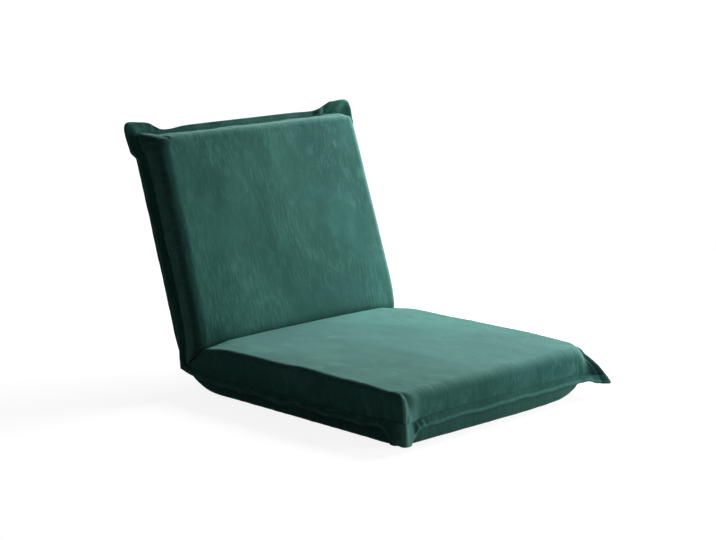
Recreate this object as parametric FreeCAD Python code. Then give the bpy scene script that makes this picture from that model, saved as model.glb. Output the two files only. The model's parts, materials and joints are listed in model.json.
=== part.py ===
import FreeCAD, Part
import math
import os
from FreeCAD import Placement, Rotation, Vector

# Folding floor chair: two padded halves joined by a pair of ratchet hinges, in one
# fabric cover with a sewn flange all round and a pointed ear at each free corner.
# Frame: x across, the front faces -y, z up. The origin is the middle of the flat
# underside of the seat, on the surface that the chair stands on.
# Each half is drawn lying flat in its own axes: x across, v away from the crease,
# w out of the face that is sat on or leant on, with w = 0 at the flange.

# Driving dimensions, in mm and degrees
cushion_width = 500.0
seat_length = 504.0
back_length = 409.0
upper_depth = 58.0
lower_depth = 32.0
crown = 6.0
side_draw = 4.0
shoulder_round = 16.0
front_round = 16.0
front_slope = 7.0
corner_round = 20.0
crease_round = 24.0
undercut = 24.0
lean = 18.0

# Outer corner of the fold, measured from the crease and from the floor
corner_behind = 65.0
corner_rise = 42.0
under_flat_start = 40.0
flange_flat_start = 36.0
back_under_start = 40.0
back_flange_start = 75.0

# Cover, flange and ears
cover_thick = 2.0
flange_width = 14.0
flange_thick = 3.0
ear_reach = 16.0
ear_flare = 58.0
ear_blunt = 15.0

# Fold: pivot depth under both faces, and the free sectors left for the travel
pivot_depth = 40.0
crease_sector = 29.0
mitre_gap = 0.4
outer_from = -50.0
outer_to = 26.0

# Steel frame
rail_x = 218.0
tube_radius = 9.5
tube_wall = 1.2
frame_bend = 60.0
frame_margin = 34.0
cross_radius = 8.0
strap_thick = 1.6
seat_cross_at = (75.0, 270.0)
back_cross_at = (75.0, 225.0)
seat_straps_at = (130.0, 200.0, 340.0, 410.0)
back_straps_at = (122.0, 172.0, 278.0, 322.0)
seat_strap_width = 44.0
back_strap_width = 36.0

# Ratchet hinge
arm_half = 2.5
cheek_in = 3.0
cheek_out = 5.5
cheek_radius = 21.0
pin_radius = 4.0
running_fit = 0.05
tooth_tip = 19.5
tooth_root = 16.0
tooth_pitch = 18.0
stops_back = 4
release_turn = 14.0
pawl_at = 215.0
pawl_length = 24.0
pawl_lift = 8.8
nose_gap = 0.4
pawl_pin_radius = 2.5
block_from = 41.0
block_to = 49.0
spigot_length = 35.0
rivet_from_pivot = 66.0
rivet_radius = 2.5
rivet_head = 1.8
pocket_radius = 24.0
pocket_half = 10.0
room_height = 22.0
spigot_room = 12.5
room_play = 2.0

# Zip across the bottom of the back's rear cover
zip_at = 62.0
zip_half = 225.0
tape_half = 12.5
coil_gap = 1.0
coil_half = 2.4
slider_start = -200.0
pull_length = 26.0

# Derived places
seat_top = upper_depth + lower_depth
crease_y = (seat_length - undercut + under_flat_start) / 2
fold_angle = 90.0 + lean
mitre = fold_angle / 2
pivot_v = -pivot_depth / math.tan(math.radians(mitre))
pivot_w = upper_depth - pivot_depth
half_width = cushion_width / 2
pivot_y = crease_y - pivot_v
pivot_z = lower_depth + pivot_w
lean_sin = math.sin(math.radians(lean))
lean_cos = math.cos(math.radians(lean))
nose_root = tooth_root + nose_gap
far = 800.0
deep = 25.0


def polar(radius, degrees):
    """The two components of a length at an angle."""
    turn = math.radians(degrees)
    return radius * math.cos(turn), radius * math.sin(turn)


def outline(to_point, start, *moves):
    """Closed face. A move of one point is a line to it, of two an arc through the first to the second."""
    edges = []
    here = start
    for move in moves:
        points = [to_point(*here)] + [to_point(*p) for p in move]
        edge = Part.Arc(*points) if len(move) == 2 else Part.LineSegment(*points)
        edges.append(edge.toShape())
        here = move[-1]
    if (to_point(*here) - to_point(*start)).Length > 1e-6:
        edges.append(Part.LineSegment(to_point(*here), to_point(*start)).toShape())
    return Part.Face(Part.Wire(edges))


def side_point(v, w):
    return Vector(0, v, w)


def plan_point(x, v):
    return Vector(x, v, 0)


def across(face, low, high):
    """Solid from a side-view face, between two places along x."""
    moved = face.copy()
    moved.translate(Vector(low, 0, 0))
    return moved.extrude(Vector(high - low, 0, 0))


def rod(radius, low, high, y=0.0, z=0.0):
    """Round bar along x."""
    return Part.makeCylinder(radius, high - low, Vector(low, y, z), Vector(1, 0, 0))


def block(x0, x1, y0, y1, z0, z1):
    return Part.makeBox(x1 - x0, y1 - y0, z1 - z0, Vector(x0, y0, z0))


def wedge(centre, first, last):
    """Wide prism of the sector between two angles in the side view, up to 180 degrees."""
    steps = math.ceil((last - first) / 40)
    points = []
    for step in range(steps + 1):
        dv, dw = polar(far, first + (last - first) * step / steps)
        points.append(((centre[0] + dv, centre[1] + dw),))
    return across(outline(side_point, centre, *points), -far, far)


class Half:
    """Shape data of one half: its length, its corner at the fold and its sector about the pivot."""

    def __init__(self, length, corner, flange_start, under_start, sector):
        self.length = length
        self.corner = corner
        self.flange_start = flange_start
        self.under_start = under_start
        self.sector = sector


def bend(start, corner):
    """Radius and middle point of the arc that leaves a line along v at start and ends at corner."""
    run = start[0] - corner[0]
    rise = corner[1] - start[1]
    radius = (run ** 2 + rise ** 2) / (2 * abs(rise))
    half_turn = math.atan(abs(rise) / run)
    drop = radius * (1 - math.cos(half_turn))
    middle = (start[0] - radius * math.sin(half_turn), start[1] + math.copysign(drop, rise))
    return radius, middle


def back_local(y, z):
    """Side-view place in the back's own axes, of a point given from the crease."""
    v = y * lean_sin + z * lean_cos
    w = upper_depth - y * lean_cos + z * lean_sin
    return v, w


seat_half = Half(seat_length, (-corner_behind, corner_rise - lower_depth), flange_flat_start,
                 under_flat_start, (-180.0 - outer_from, mitre - crease_sector / 2))
back_half = Half(back_length, back_local(corner_behind, corner_rise - seat_top), back_flange_start,
                 back_under_start, (outer_to - (90.0 - lean), mitre - crease_sector / 2))
pivot = (pivot_v, pivot_w)


def place_seat(shape):
    """From the half's flat axes to the chair: v runs forward and w up."""
    placed = shape.copy()
    turn = Rotation(Vector(0, 0, 1), 180)
    placed.Placement = Placement(Vector(0, crease_y, lower_depth), turn).multiply(placed.Placement)
    return placed


def place_back(shape):
    """From the half's flat axes to the chair: v runs up the back, which leans by the lean angle."""
    placed = shape.copy()
    turn = Rotation(Vector(1, 0, 0), 90 - lean)
    foot = Vector(0, crease_y + upper_depth * lean_cos, seat_top - upper_depth * lean_sin)
    placed.Placement = Placement(foot, turn).multiply(placed.Placement)
    return placed


def place_hinge(shape, x, back=False):
    """From axes at the pivot, with the spigot along +v, to the chair."""
    moved = shape.copy()
    moved.translate(Vector(x, pivot_v, pivot_w))
    return place_back(moved) if back else place_seat(moved)


def crowned_bar(length, inset):
    """Cushion bar along v: crowned on top, round shoulders, sides drawn in between the corners."""
    height = upper_depth - inset
    peak = height + crown
    shoulder = height - shoulder_round
    slant = shoulder_round * math.sqrt(0.5)
    sections = []
    for share in (-0.25, 0.12, 0.5, 0.88, 1.1):
        v = share * length
        pull = side_draw * max(0.0, 1 - (2 * share - 1) ** 2)
        a = half_width - inset - pull
        top = a - 1 - shoulder_round

        def at(x, w, v=v):
            return Vector(x, v, w)

        face = outline(
            at, (-a, -deep), ((a, -deep),), ((a, 0),), ((a + 1, shoulder / 2), (a - 1, shoulder)),
            ((top + slant, shoulder + slant), (top, height)), ((0, peak), (-top, height)),
            ((-top - slant, shoulder + slant), (-a + 1, shoulder)), ((-a - 1, shoulder / 2), (-a, 0)))
        sections.append(face.OuterWire)
    return Part.makeLoft(sections, True, False)


def under_bar(length, inset):
    """Lower half of a cushion as a bar along v, with its lower edges turned in."""
    a = half_width - inset
    low = -lower_depth + inset

    def at(x, w):
        return Vector(x, -0.3 * length, w)

    lip = (a, -4)
    cheek = (a - 3, -16)
    turn = (a - 11, low + 5)
    sole = (a - 17, low + 1.2)
    flat = (a - undercut, low)

    def flip(p):
        return (-p[0], p[1])

    face = outline(
        at, (-a, deep), (flip(lip),), (flip(cheek), flip(turn)), (flip(sole), flip(flat)),
        (flat,), (sole, turn), (cheek, lip), ((a, deep),))
    return face.extrude(Vector(0, 1.4 * length, 0))


def flange_moves(half):
    """Moves from the fold corner along the flange line to its straight part."""
    middle = bend((half.flange_start, 0), half.corner)[1]
    return (middle, (half.flange_start, 0))


def upper_side(half, inset):
    """Side-view prism above the flange line: front wall sloping back, rounded top edge."""
    top = upper_depth + crown - inset
    wall = half.length - inset
    lip = wall - front_slope
    behind = half.corner[0] - 60
    slant = front_round * (1 - math.sqrt(0.5))
    face = outline(
        side_point, half.corner, flange_moves(half), ((wall, 0),), ((lip, top - front_round),),
        ((lip - slant, top - slant), (lip - front_round, top)), ((behind, top),),
        ((behind, half.corner[1]),))
    return across(face, -far / 2, far / 2)


def below_flange(half):
    """Side-view prism of everything under the flange line."""
    behind = half.corner[0] - 60
    face = outline(
        side_point, half.corner, flange_moves(half), ((far, 0),), ((far, -4 * deep),),
        ((behind, -4 * deep),), ((behind, half.corner[1]),))
    return across(face, -far / 2, far / 2)


def under_side(half, inset):
    """Side-view prism below the flange line, down to the underside and its rise to the fold."""
    low = -lower_depth + inset
    radius = bend((half.under_start, -lower_depth), half.corner)[0]
    half_turn = math.atan((half.corner[1] + lower_depth) / (half.under_start - half.corner[0]))

    def on_rise(angle):
        reach = radius - inset
        return (half.under_start - reach * math.sin(angle), low - inset + radius - reach * math.cos(angle))

    wall = half.length - inset
    foot = wall - undercut
    belly = ((wall + foot) / 2 + 5, low * 0.62)
    end = on_rise(2 * half_turn)
    face = outline(
        side_point, end, ((end[0], 2 * deep),), ((wall, 2 * deep),), ((wall, 0),), (belly, (foot, low)),
        ((half.under_start, low),), (on_rise(half_turn), end))
    return across(face, -far / 2, far / 2).common(below_flange(half))


def plan_prism(half, inset, rounding):
    """Plan-view prism that rounds the two free corners."""
    wide = half_width + 10
    edge = half_width + 3 - inset
    end = half.length + 1 - inset
    r = rounding - inset
    near = edge - r
    slant = r * math.sqrt(0.5)
    face = outline(
        plan_point, (-wide, -0.3 * far), ((wide, -0.3 * far),), ((wide, end - r),), ((edge, end - r),),
        ((near + slant, end - r + slant), (near, end)), ((-near, end),),
        ((-near - slant, end - r + slant), (-edge, end - r)), ((-wide, end - r),))
    face.translate(Vector(0, 0, -far / 4))
    return face.extrude(Vector(0, 0, far / 2))


def upper_body(half, inset):
    body = crowned_bar(half.length, inset).common(upper_side(half, inset))
    return body.common(plan_prism(half, inset, corner_round)).common(wedge(pivot, *half.sector))


def under_body(half, inset):
    body = under_bar(half.length, inset).common(under_side(half, inset))
    return body.common(plan_prism(half, inset, 2.4 * corner_round)).common(wedge(pivot, *half.sector))


def crease_roll(half):
    """Soft roll at the crease: between the half's sector and the mitre, its edge rounded over."""
    top = upper_depth + crown
    rise = top - pivot_w
    near = mitre - mitre_gap
    tip = pivot_v + rise / math.tan(math.radians(near))
    tangent = crease_round * math.tan(math.radians(near / 2))
    start = pivot_v + rise / math.tan(math.radians(half.sector[1]))
    slide = polar(tangent, near)
    hollow = (tip - slide[0], top - slide[1])
    centre = (tip + tangent, top - crease_round)
    lift = polar(crease_round, 90 + near / 2)
    middle = (centre[0] + lift[0], centre[1] + lift[1])
    face = outline(side_point, pivot, ((start, top),), ((tip + tangent, top),), (middle, hollow))
    return crowned_bar(half.length, 0).common(across(face, -far / 2, far / 2))


def flange_sheet(half):
    """Two layers of cover sewn together: a thin sheet along the flange line, across the whole width."""
    t = flange_thick / 2
    radius = bend((half.flange_start, 0), half.corner)[0]
    turn = math.atan(abs(half.corner[1]) / (half.flange_start - half.corner[0]))
    sign = math.copysign(1.0, half.corner[1])
    end = half.length + 2 * flange_width + ear_reach

    def on(offset, angle):
        r = radius - sign * offset
        return (half.flange_start - r * math.sin(angle), sign * (radius - r * math.cos(angle)))

    face = outline(
        side_point, on(t, 2 * turn), (on(t, turn), (half.flange_start, t)), ((end, t),), ((end, -t),),
        ((half.flange_start, -t),), (on(-t, turn), on(-t, 2 * turn)))
    return across(face, -far / 2, far / 2)


def flange_plan(half):
    """Plan-view prism of the flange's outer edge, drawn out to an ear at each free corner."""
    side = half_width + flange_width
    end = half.length + flange_width
    wide = side + ear_reach
    long = end + ear_reach
    tip = (wide - 0.3 * ear_blunt, long - 0.3 * ear_blunt)
    cheek = (wide, long - ear_blunt)
    brow = (wide - ear_blunt, long)
    cheek_bow = (side + 0.22 * ear_reach, end - 0.45 * ear_flare)
    brow_bow = (side - 0.45 * ear_flare, end + 0.22 * ear_reach)

    def flip(p):
        return (-p[0], p[1])

    face = outline(
        plan_point, (-side, -far / 4), ((side, -far / 4),), ((side, end - ear_flare),), (cheek_bow, cheek),
        (tip, brow), (brow_bow, (side - ear_flare, end)), ((ear_flare - side, end),),
        (flip(brow_bow), flip(brow)), (flip(tip), flip(cheek)),
        (flip(cheek_bow), (-side, end - ear_flare)))
    face.translate(Vector(0, 0, -far / 4))
    return face.extrude(Vector(0, 0, far / 2))


def flange(half, cushion):
    ring = flange_sheet(half).common(flange_plan(half)).common(wedge(pivot, *half.sector))
    return ring.cut(cushion)


def fold_gusset():
    """Cover panel with its foam round the outside of the fold, from the seat's sector to the back's."""
    hub = (pivot_y - crease_y, pivot_z)
    elbow = (corner_behind, corner_rise)
    seat_start = (-under_flat_start, 0.0)
    seat_bend = bend((under_flat_start, -lower_depth), seat_half.corner)[1]
    seat_mid = (-seat_bend[0], seat_bend[1] + lower_depth)
    back_start = (back_under_start, -lower_depth)
    back_mid = bend(back_start, back_half.corner)[1]

    def from_back(p):
        y = p[0] * lean_sin + (upper_depth - p[1]) * lean_cos
        return (y, seat_top + p[0] * lean_cos - (upper_depth - p[1]) * lean_sin)

    face = outline(
        side_point, seat_start, (seat_mid, elbow), (from_back(back_mid), from_back(back_start)), (hub,))
    sector = wedge(hub, outer_from, outer_to)
    core = across(face, -half_width + 0.5, half_width - 0.5).common(sector)
    core.translate(Vector(0, crease_y, 0))
    sector.translate(Vector(0, crease_y, 0))
    sheets = place_seat(flange_sheet(seat_half).common(flange_plan(seat_half)))
    sheets = sheets.fuse(place_back(flange_sheet(back_half).common(flange_plan(back_half))))
    strips = sheets.common(sector)
    return core.fuse(strips).removeSplitter()


def frame_path(half):
    """Centre line of the U-shaped tube, from one hinge spigot round to the other."""
    start = pivot_v + block_to
    end = half.length - frame_margin
    r = frame_bend
    near = rail_x - r
    slant = r * math.sqrt(0.5)

    def at(x, v):
        return Vector(x, v, pivot_w)

    edges = [
        Part.LineSegment(at(rail_x, start), at(rail_x, end - r)).toShape(),
        Part.Arc(at(rail_x, end - r), at(near + slant, end - r + slant), at(near, end)).toShape(),
        Part.LineSegment(at(near, end), at(-near, end)).toShape(),
        Part.Arc(at(-near, end), at(-near - slant, end - r + slant), at(-rail_x, end - r)).toShape(),
        Part.LineSegment(at(-rail_x, end - r), at(-rail_x, start)).toShape()]
    return Part.Wire(edges)


def frame_bar(half, radius):
    path = frame_path(half)
    start = Vector(rail_x, pivot_v + block_to, pivot_w)
    ring = Part.Wire(Part.makeCircle(radius, start, Vector(0, 1, 0)))
    return path.makePipeShell([ring], True, False)


def rivet_shanks():
    """Cross holes and rivet shanks, one at each rail."""
    shanks = [rod(rivet_radius, s * rail_x - tube_radius, s * rail_x + tube_radius,
                  pivot_v + rivet_from_pivot, pivot_w) for s in (-1, 1)]
    return shanks[0].fuse(shanks[1])


def frame_tube(half):
    tube = frame_bar(half, tube_radius).cut(frame_bar(half, tube_radius - tube_wall))
    return tube.cut(rivet_shanks())


def rivets(half):
    """Rivet through each tube and its spigot, with a low head at both ends."""
    solids = []
    v = pivot_v + rivet_from_pivot
    bar = frame_bar(half, tube_radius)
    reach = tube_radius + rivet_head
    for s in (-1, 1):
        x = s * rail_x
        head = rod(2 * rivet_radius, x - reach, x + reach, v, pivot_w)
        shank = rod(rivet_radius, x - tube_radius, x + tube_radius, v, pivot_w)
        solids.append(head.cut(bar).fuse(shank).removeSplitter())
    return Part.makeCompound(solids)


def cross_tube(half, v):
    """Tube between the rails, its ends coped to them."""
    outer = rod(cross_radius, -rail_x, rail_x, v, pivot_w)
    inner = rod(cross_radius - tube_wall, -rail_x, rail_x, v, pivot_w)
    return outer.cut(inner).cut(frame_bar(half, tube_radius))


def strap(v, width):
    """Elastic webbing band looped round both rails."""

    def loop(radius):
        def at(x, w):
            return Vector(x, v - width / 2, pivot_w + w)

        return outline(
            at, (-rail_x, -radius), ((rail_x, -radius),), ((rail_x + radius, 0), (rail_x, radius)),
            ((-rail_x, radius),), ((-rail_x - radius, 0), (-rail_x, -radius)))

    outer = loop(tube_radius + strap_thick).extrude(Vector(0, width, 0))
    return outer.cut(loop(tube_radius).extrude(Vector(0, width, 0)))


def straps(places, width):
    return Part.makeCompound([strap(v, width) for v in places])


def hinge_pockets():
    """Room cut in the soft pieces for the hinges, their spigots and the rivet heads."""
    rooms = []
    for s in (-1, 1):
        x = s * rail_x
        rooms.append(rod(pocket_radius, x - pocket_half, x + pocket_half, pivot_v, pivot_w))
        step = pivot_v + block_to - room_play
        room_end = pivot_v + block_to + spigot_length + room_play
        rooms.append(block(x - pocket_half, x + pocket_half, pivot_v, step,
                           pivot_w - room_height, pivot_w + room_height))
        rooms.append(block(x - spigot_room, x + spigot_room, step, room_end,
                           pivot_w - spigot_room, pivot_w + spigot_room))
    return rooms


def hollow(body, half, cross_places, bands):
    """Foam moulded round the frame: the tubes, bands and hinge rooms taken out."""
    tools = [frame_bar(half, tube_radius)]
    tools += [rod(cross_radius, -rail_x, rail_x, v, pivot_w) for v in cross_places]
    tools += list(bands.Solids) + hinge_pockets()
    return body.cut(tools)


def spigot_end():
    """Block and round spigot that fit the end of a frame tube, along +v from the pivot."""
    head = block(-cheek_out, cheek_out, block_from, block_to, -10, 10)
    peg_start = Vector(0, block_to, 0)
    peg = Part.makeCylinder(tube_radius - tube_wall, spigot_length, peg_start, Vector(0, 1, 0))
    hole = rod(rivet_radius, -tube_radius, tube_radius, rivet_from_pivot, 0)
    return head.fuse(peg).cut(hole)


def pawl_frame(t, n):
    """Pawl's own axes to the seat half's axes: t from the nose to its pin, n out from the pivot."""
    out = polar(1.0, pawl_at)
    y = n * out[0] + t * out[1]
    z = n * out[1] - t * out[0]
    return -y, z


def pawl_pivot():
    """Centre of the pawl's pin, from the hinge pivot."""
    return pawl_frame(pawl_length, nose_root)


def housing():
    """Two cheeks joined by a block, with the spigot for the seat tube."""
    cheek = outline(
        side_point, (0, cheek_radius), ((27, 17),), ((36, 13),), ((block_to, 10),), ((block_to, -10),),
        ((36, -14),), ((0, -cheek_radius),), ((-cheek_radius, 0), (0, cheek_radius)))
    body = spigot_end()
    for low, high in ((-cheek_out, -cheek_in), (cheek_in, cheek_out)):
        body = body.fuse(across(cheek, low, high))
    body = body.cut([rod(pin_radius, -20, 20), rod(pawl_pin_radius, -20, 20, *pawl_pivot())])
    return body.removeSplitter()


def arm():
    """Toothed plate on the back's spigot: a notch for each stop and a low run for the release."""
    plate = rod(tooth_tip, -arm_half, arm_half)
    turn_to_local = 90.0 - lean

    def notch_point(degrees):
        out = polar(1.0, degrees)

        def at(t, n):
            return Vector(0, n * out[0] - t * out[1], n * out[1] + t * out[0])

        return at

    cutters = []
    for stop in range(-1, stops_back + 1):
        at = notch_point(pawl_at + stop * tooth_pitch - turn_to_local)
        face = outline(at, (-1.4, tooth_root), ((1.4, tooth_root),), ((2.6, 21),), ((-2.6, 21),))
        cutters.append(across(face, -10, 10))
    first = pawl_at - tooth_pitch - turn_to_local
    ring = rod(21, -10, 10).cut(rod(tooth_root, -11, 11))
    cutters.append(ring.common(wedge((0, 0), first - release_turn, first)))
    neck = block(-arm_half, arm_half, 0, block_to, -9, 9)
    body = plate.cut(cutters).fuse(neck).fuse(spigot_end())
    return body.cut(rod(pin_radius + running_fit, -20, 20)).removeSplitter()


def pawl():
    """Locking pawl, drawn engaged and then lifted clear of the teeth."""

    def at(t, n):
        y, z = pawl_frame(t, n)
        return Vector(0, y, z)

    boss = 4.5
    inner = tooth_tip + 0.7
    outer = inner + 4.3
    face = outline(
        at, (-1.0, nose_root), ((1.0, nose_root),), ((1.7, inner),), ((10, inner - 0.3),), ((20, 13),),
        ((pawl_length, nose_root - boss),), ((pawl_length, nose_root + boss),), ((4, outer),),
        ((-3, outer),), ((-3, inner + 0.2),), ((-1.7, inner),))
    pin_y, pin_z = pawl_pivot()
    body = across(face, -arm_half, arm_half).fuse(rod(boss, -arm_half, arm_half, pin_y, pin_z))
    body = body.cut(rod(pawl_pin_radius + running_fit, -20, 20, pin_y, pin_z)).removeSplitter()
    body.rotate(Vector(0, pin_y, pin_z), Vector(1, 0, 0), pawl_lift)
    return body


def headed_pin(radius, head, thick, y=0.0, z=0.0):
    body = rod(radius, -cheek_out, cheek_out, y, z)
    for low, high in ((-cheek_out - thick, -cheek_out), (cheek_out, cheek_out + thick)):
        body = body.fuse(rod(head, low, high, y, z))
    return body.removeSplitter()


def washers():
    """Thin washer on each side of the toothed plate."""
    rings = []
    for low, high in ((-cheek_in + 0.05, -arm_half - 0.05), (arm_half + 0.05, cheek_in - 0.05)):
        rings.append(rod(9, low, high).cut(rod(pin_radius + running_fit, low - 1, high + 1)))
    return Part.makeCompound(rings)


def pawl_spring():
    """Leaf from the housing block to the back of the pawl."""
    t = 0.6
    outer = ((block_from, -9.0), (33, -18.2), (24.2, -19.9))
    inner = tuple((p[0] - 0.1, p[1] + t) for p in outer)
    face = outline(
        side_point, outer[0], (outer[1], outer[2]), (inner[2],), (inner[1], (block_from, inner[0][1])))
    return across(face, -2, 2)


def zip_tapes():
    low = -lower_depth
    bands = [block(-zip_half, zip_half, zip_at + a, zip_at + b, low, low + 1.0)
             for a, b in ((coil_half, tape_half), (-tape_half, -coil_half))]
    return Part.makeCompound(bands)


def zip_coils():
    """Two nylon coils on the tape edges, drawn as ridges with a slit between them."""
    low = -lower_depth
    ridges = []
    for side in (-1, 1):
        a, b = side * coil_gap, side * coil_half

        def at(v, w):
            return Vector(-zip_half + 6, zip_at + v, low + w)

        face = outline(at, (a, 0.2), ((b, 0.2),), ((b, 1.4),), ((a, 1.4),))
        ridges.append(face.extrude(Vector(2 * (zip_half - 6), 0, 0)))
    return Part.makeCompound(ridges)


def zip_stops():
    low = -lower_depth
    ends = [block(s * zip_half - (6 if s > 0 else 0), s * zip_half + (0 if s > 0 else 6),
                  zip_at - coil_half, zip_at + coil_half, low - 0.2, low + 1.6) for s in (-1, 1)]
    return Part.makeCompound(ends)


def zip_slider():
    """Slider with a plate each side of the coils, a post in the slit and an eye for the pull."""
    low = -lower_depth
    x, v = slider_start, zip_at
    body = block(x - 6, x + 6, v - 4, v + 4, low - 1.4, low - 0.3)
    body = body.fuse(block(x - 6, x + 6, v - 4, v + 4, low + 1.7, low + 2.6))
    body = body.fuse(block(x - 1.5, x + 1.5, v - coil_gap + 0.2, v + coil_gap - 0.2, low - 0.4, low + 1.8))
    for a, b in ((-3.4, -2.2), (2.2, 3.4)):
        body = body.fuse(block(x + a, x + b, v - 1.2, v + 1.2, low - 3.6, low - 1.4))
    body = body.fuse(rod(0.7, x - 2.2, x + 2.2, v, low - 2.8))
    return body.removeSplitter()


def zip_pull():
    """Pull tab hanging straight down from the slider's eye."""
    low = -lower_depth
    x, v, w = slider_start, zip_at, low - 2.8
    ring = rod(1.3, x - 1.9, x + 1.9, v, w)
    tab = block(x - 1.9, x + 1.9, v - 6, v - 0.8, w - 0.7, w + 0.7)
    end = block(x - 3.2, x + 3.2, v - pull_length, v - 6, w - 0.7, w + 0.7)
    window = block(x - 1.2, x + 1.2, v - pull_length + 3, v - 12, w - 3, w + 3)
    body = ring.fuse([tab, end]).cut([window, rod(0.75, x - 5, x + 5, v, w)]).removeSplitter()
    body.rotate(Vector(x, v, w), Vector(1, 0, 0), lean)
    return body


def soft_half(half, cross_places, bands):
    """Foam, covers and flange of one half, with the room for what the foam is moulded round."""
    upper_out = upper_body(half, 0)
    under_out = under_body(half, 0)
    upper_in = upper_body(half, cover_thick)
    under_in = under_body(half, cover_thick)
    rooms = hinge_pockets()
    return {
        "foam_upper": hollow(upper_in, half, cross_places, bands),
        "foam_under": hollow(under_in, half, cross_places, bands),
        "cover_upper": upper_out.cut(upper_in).cut(rooms),
        "cover_under": under_out.cut(under_in).cut(rooms),
        "flange": flange(half, upper_out.fuse(under_out)),
        "roll": crease_roll(half).cut(rooms)}


def seat_nodes():
    bands = straps(seat_straps_at, seat_strap_width)
    soft = soft_half(seat_half, seat_cross_at, bands)
    flat = {
        "seat_frame_tube": frame_tube(seat_half),
        "seat_rear_cross_tube": cross_tube(seat_half, seat_cross_at[0]),
        "seat_mid_cross_tube": cross_tube(seat_half, seat_cross_at[1]),
        "seat_webbing_straps": bands,
        "seat_spigot_rivets": rivets(seat_half),
        "seat_foam_top": soft["foam_upper"],
        "seat_foam_base": soft["foam_under"],
        "seat_cover_top": soft["cover_upper"],
        "seat_cover_base": soft["cover_under"],
        "seat_flange": soft["flange"],
        "seat_crease_roll": soft["roll"]}
    nodes = {name: place_seat(shape) for name, shape in flat.items()}
    core = fold_gusset()
    for room in hinge_pockets()[0::3]:
        core = core.cut(place_seat(room))
    nodes["fold_gusset"] = core
    return nodes


def back_nodes():
    bands = straps(back_straps_at, back_strap_width)
    soft = soft_half(back_half, back_cross_at, bands)
    low = -lower_depth
    slot = block(-zip_half, zip_half, zip_at - tape_half, zip_at + tape_half, low - 1, low + cover_thick)
    groove = block(-zip_half, zip_half, zip_at - 6, zip_at + 6, low, low + 3.4)
    flat = {
        "back_frame_tube": frame_tube(back_half),
        "back_lower_cross_tube": cross_tube(back_half, back_cross_at[0]),
        "back_lumbar_cross_tube": cross_tube(back_half, back_cross_at[1]),
        "back_webbing_straps": bands,
        "back_spigot_rivets": rivets(back_half),
        "back_foam_front": soft["foam_upper"],
        "back_foam_rear": soft["foam_under"].cut(groove),
        "back_cover_front": soft["cover_upper"],
        "back_cover_rear": soft["cover_under"].cut(slot),
        "back_flange": soft["flange"],
        "back_crease_roll": soft["roll"],
        "zip_tapes": zip_tapes(),
        "zip_coils": zip_coils(),
        "zip_stops": zip_stops(),
        "zip_slider": zip_slider(),
        "zip_pull": zip_pull()}
    return {name: place_back(shape) for name, shape in flat.items()}


def hinge_nodes():
    pin_y, pin_z = pawl_pivot()
    nodes = {}
    for side, x in (("left", -rail_x), ("right", rail_x)):
        nodes["hinge_housing_" + side] = place_hinge(housing(), -x)
        nodes["hinge_pin_" + side] = place_hinge(headed_pin(pin_radius, 7, 2), -x)
        nodes["hinge_washers_" + side] = place_hinge(washers(), -x)
        nodes["pawl_pin_" + side] = place_hinge(headed_pin(pawl_pin_radius, 4, 1.5, pin_y, pin_z), -x)
        nodes["pawl_spring_" + side] = place_hinge(pawl_spring(), -x)
        nodes["pawl_" + side] = place_hinge(pawl(), -x)
        nodes["hinge_arm_" + side] = place_hinge(arm(), x, back=True)
    return nodes


def main():
    os.makedirs("parts", exist_ok=True)
    nodes = seat_nodes()
    nodes.update(back_nodes())
    nodes.update(hinge_nodes())
    for name, shape in nodes.items():
        shape.exportStep("parts/" + name + ".step")
        solids = len(shape.Solids)
        print(name, "solids", solids, "valid", shape.isValid(), "volume", round(shape.Volume))


main()
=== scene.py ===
import json
import math

import bpy
import numpy as np
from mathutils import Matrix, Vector


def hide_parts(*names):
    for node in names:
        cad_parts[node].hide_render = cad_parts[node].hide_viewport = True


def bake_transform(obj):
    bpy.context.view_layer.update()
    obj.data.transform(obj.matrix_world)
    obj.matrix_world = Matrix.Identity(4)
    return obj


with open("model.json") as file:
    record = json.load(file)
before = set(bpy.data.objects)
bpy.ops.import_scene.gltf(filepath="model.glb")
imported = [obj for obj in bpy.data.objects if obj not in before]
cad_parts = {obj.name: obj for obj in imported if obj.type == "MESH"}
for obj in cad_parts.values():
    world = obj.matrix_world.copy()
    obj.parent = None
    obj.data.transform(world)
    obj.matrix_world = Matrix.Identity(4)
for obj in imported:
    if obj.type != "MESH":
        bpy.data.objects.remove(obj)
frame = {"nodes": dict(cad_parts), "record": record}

bl_info = {
    "name": "Folding floor chair",
    "version": (1, 0, 0),
    "blender": (4, 5, 0),
    "location": "3D View > Sidebar > Floor chair",
    "description": "Velvet covers, sewn flanges, zip and finishes of a folding floor chair",
    "category": "Object",
}

METRE = 1000.0

# Outline of the halves, mm: the same places as the steel and foam inside
LEAN = math.radians(18.0)
HALF_WIDTH = 250.0
UPPER_DEPTH = 58.0
LOWER_DEPTH = 32.0
CREASE_Y = 260.0
FOLD_CORNER = (325.0, 42.0)
MITRE = math.radians(54.0)
ZIP_AT = 62.0
ZIP_HALF = 225.0
TAPE_HALF = 12.5

# A quarter turn: the seam's direction outwards goes from 0 at the side to this at the free end
QUARTER = math.pi / 2
# How square the covers' corners are from above: 2 is a circle
CORNER_POWER = 2.8
# Share across the flange where its stitched groove lies
GROOVE_AT = 0.17
# Thickness of the covers' cloth, metres
CLOTH = 0.0012


# Sizes and finishes

def length_field(name, default, text, low=0.0):
    """Property for a length in metres."""
    return bpy.props.FloatProperty(name=name, description=text, default=default, min=low, unit="LENGTH")


def colour_field(name, default, text):
    """Property for a colour in linear light."""
    return bpy.props.FloatVectorProperty(name=name, description=text, default=default, subtype="COLOR",
                                         size=3, min=0.0, max=1.0)


def number_field(name, default, text, **settings):
    """Property for any other number."""
    return bpy.props.FloatProperty(name=name, description=text, default=default, **settings)


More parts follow.
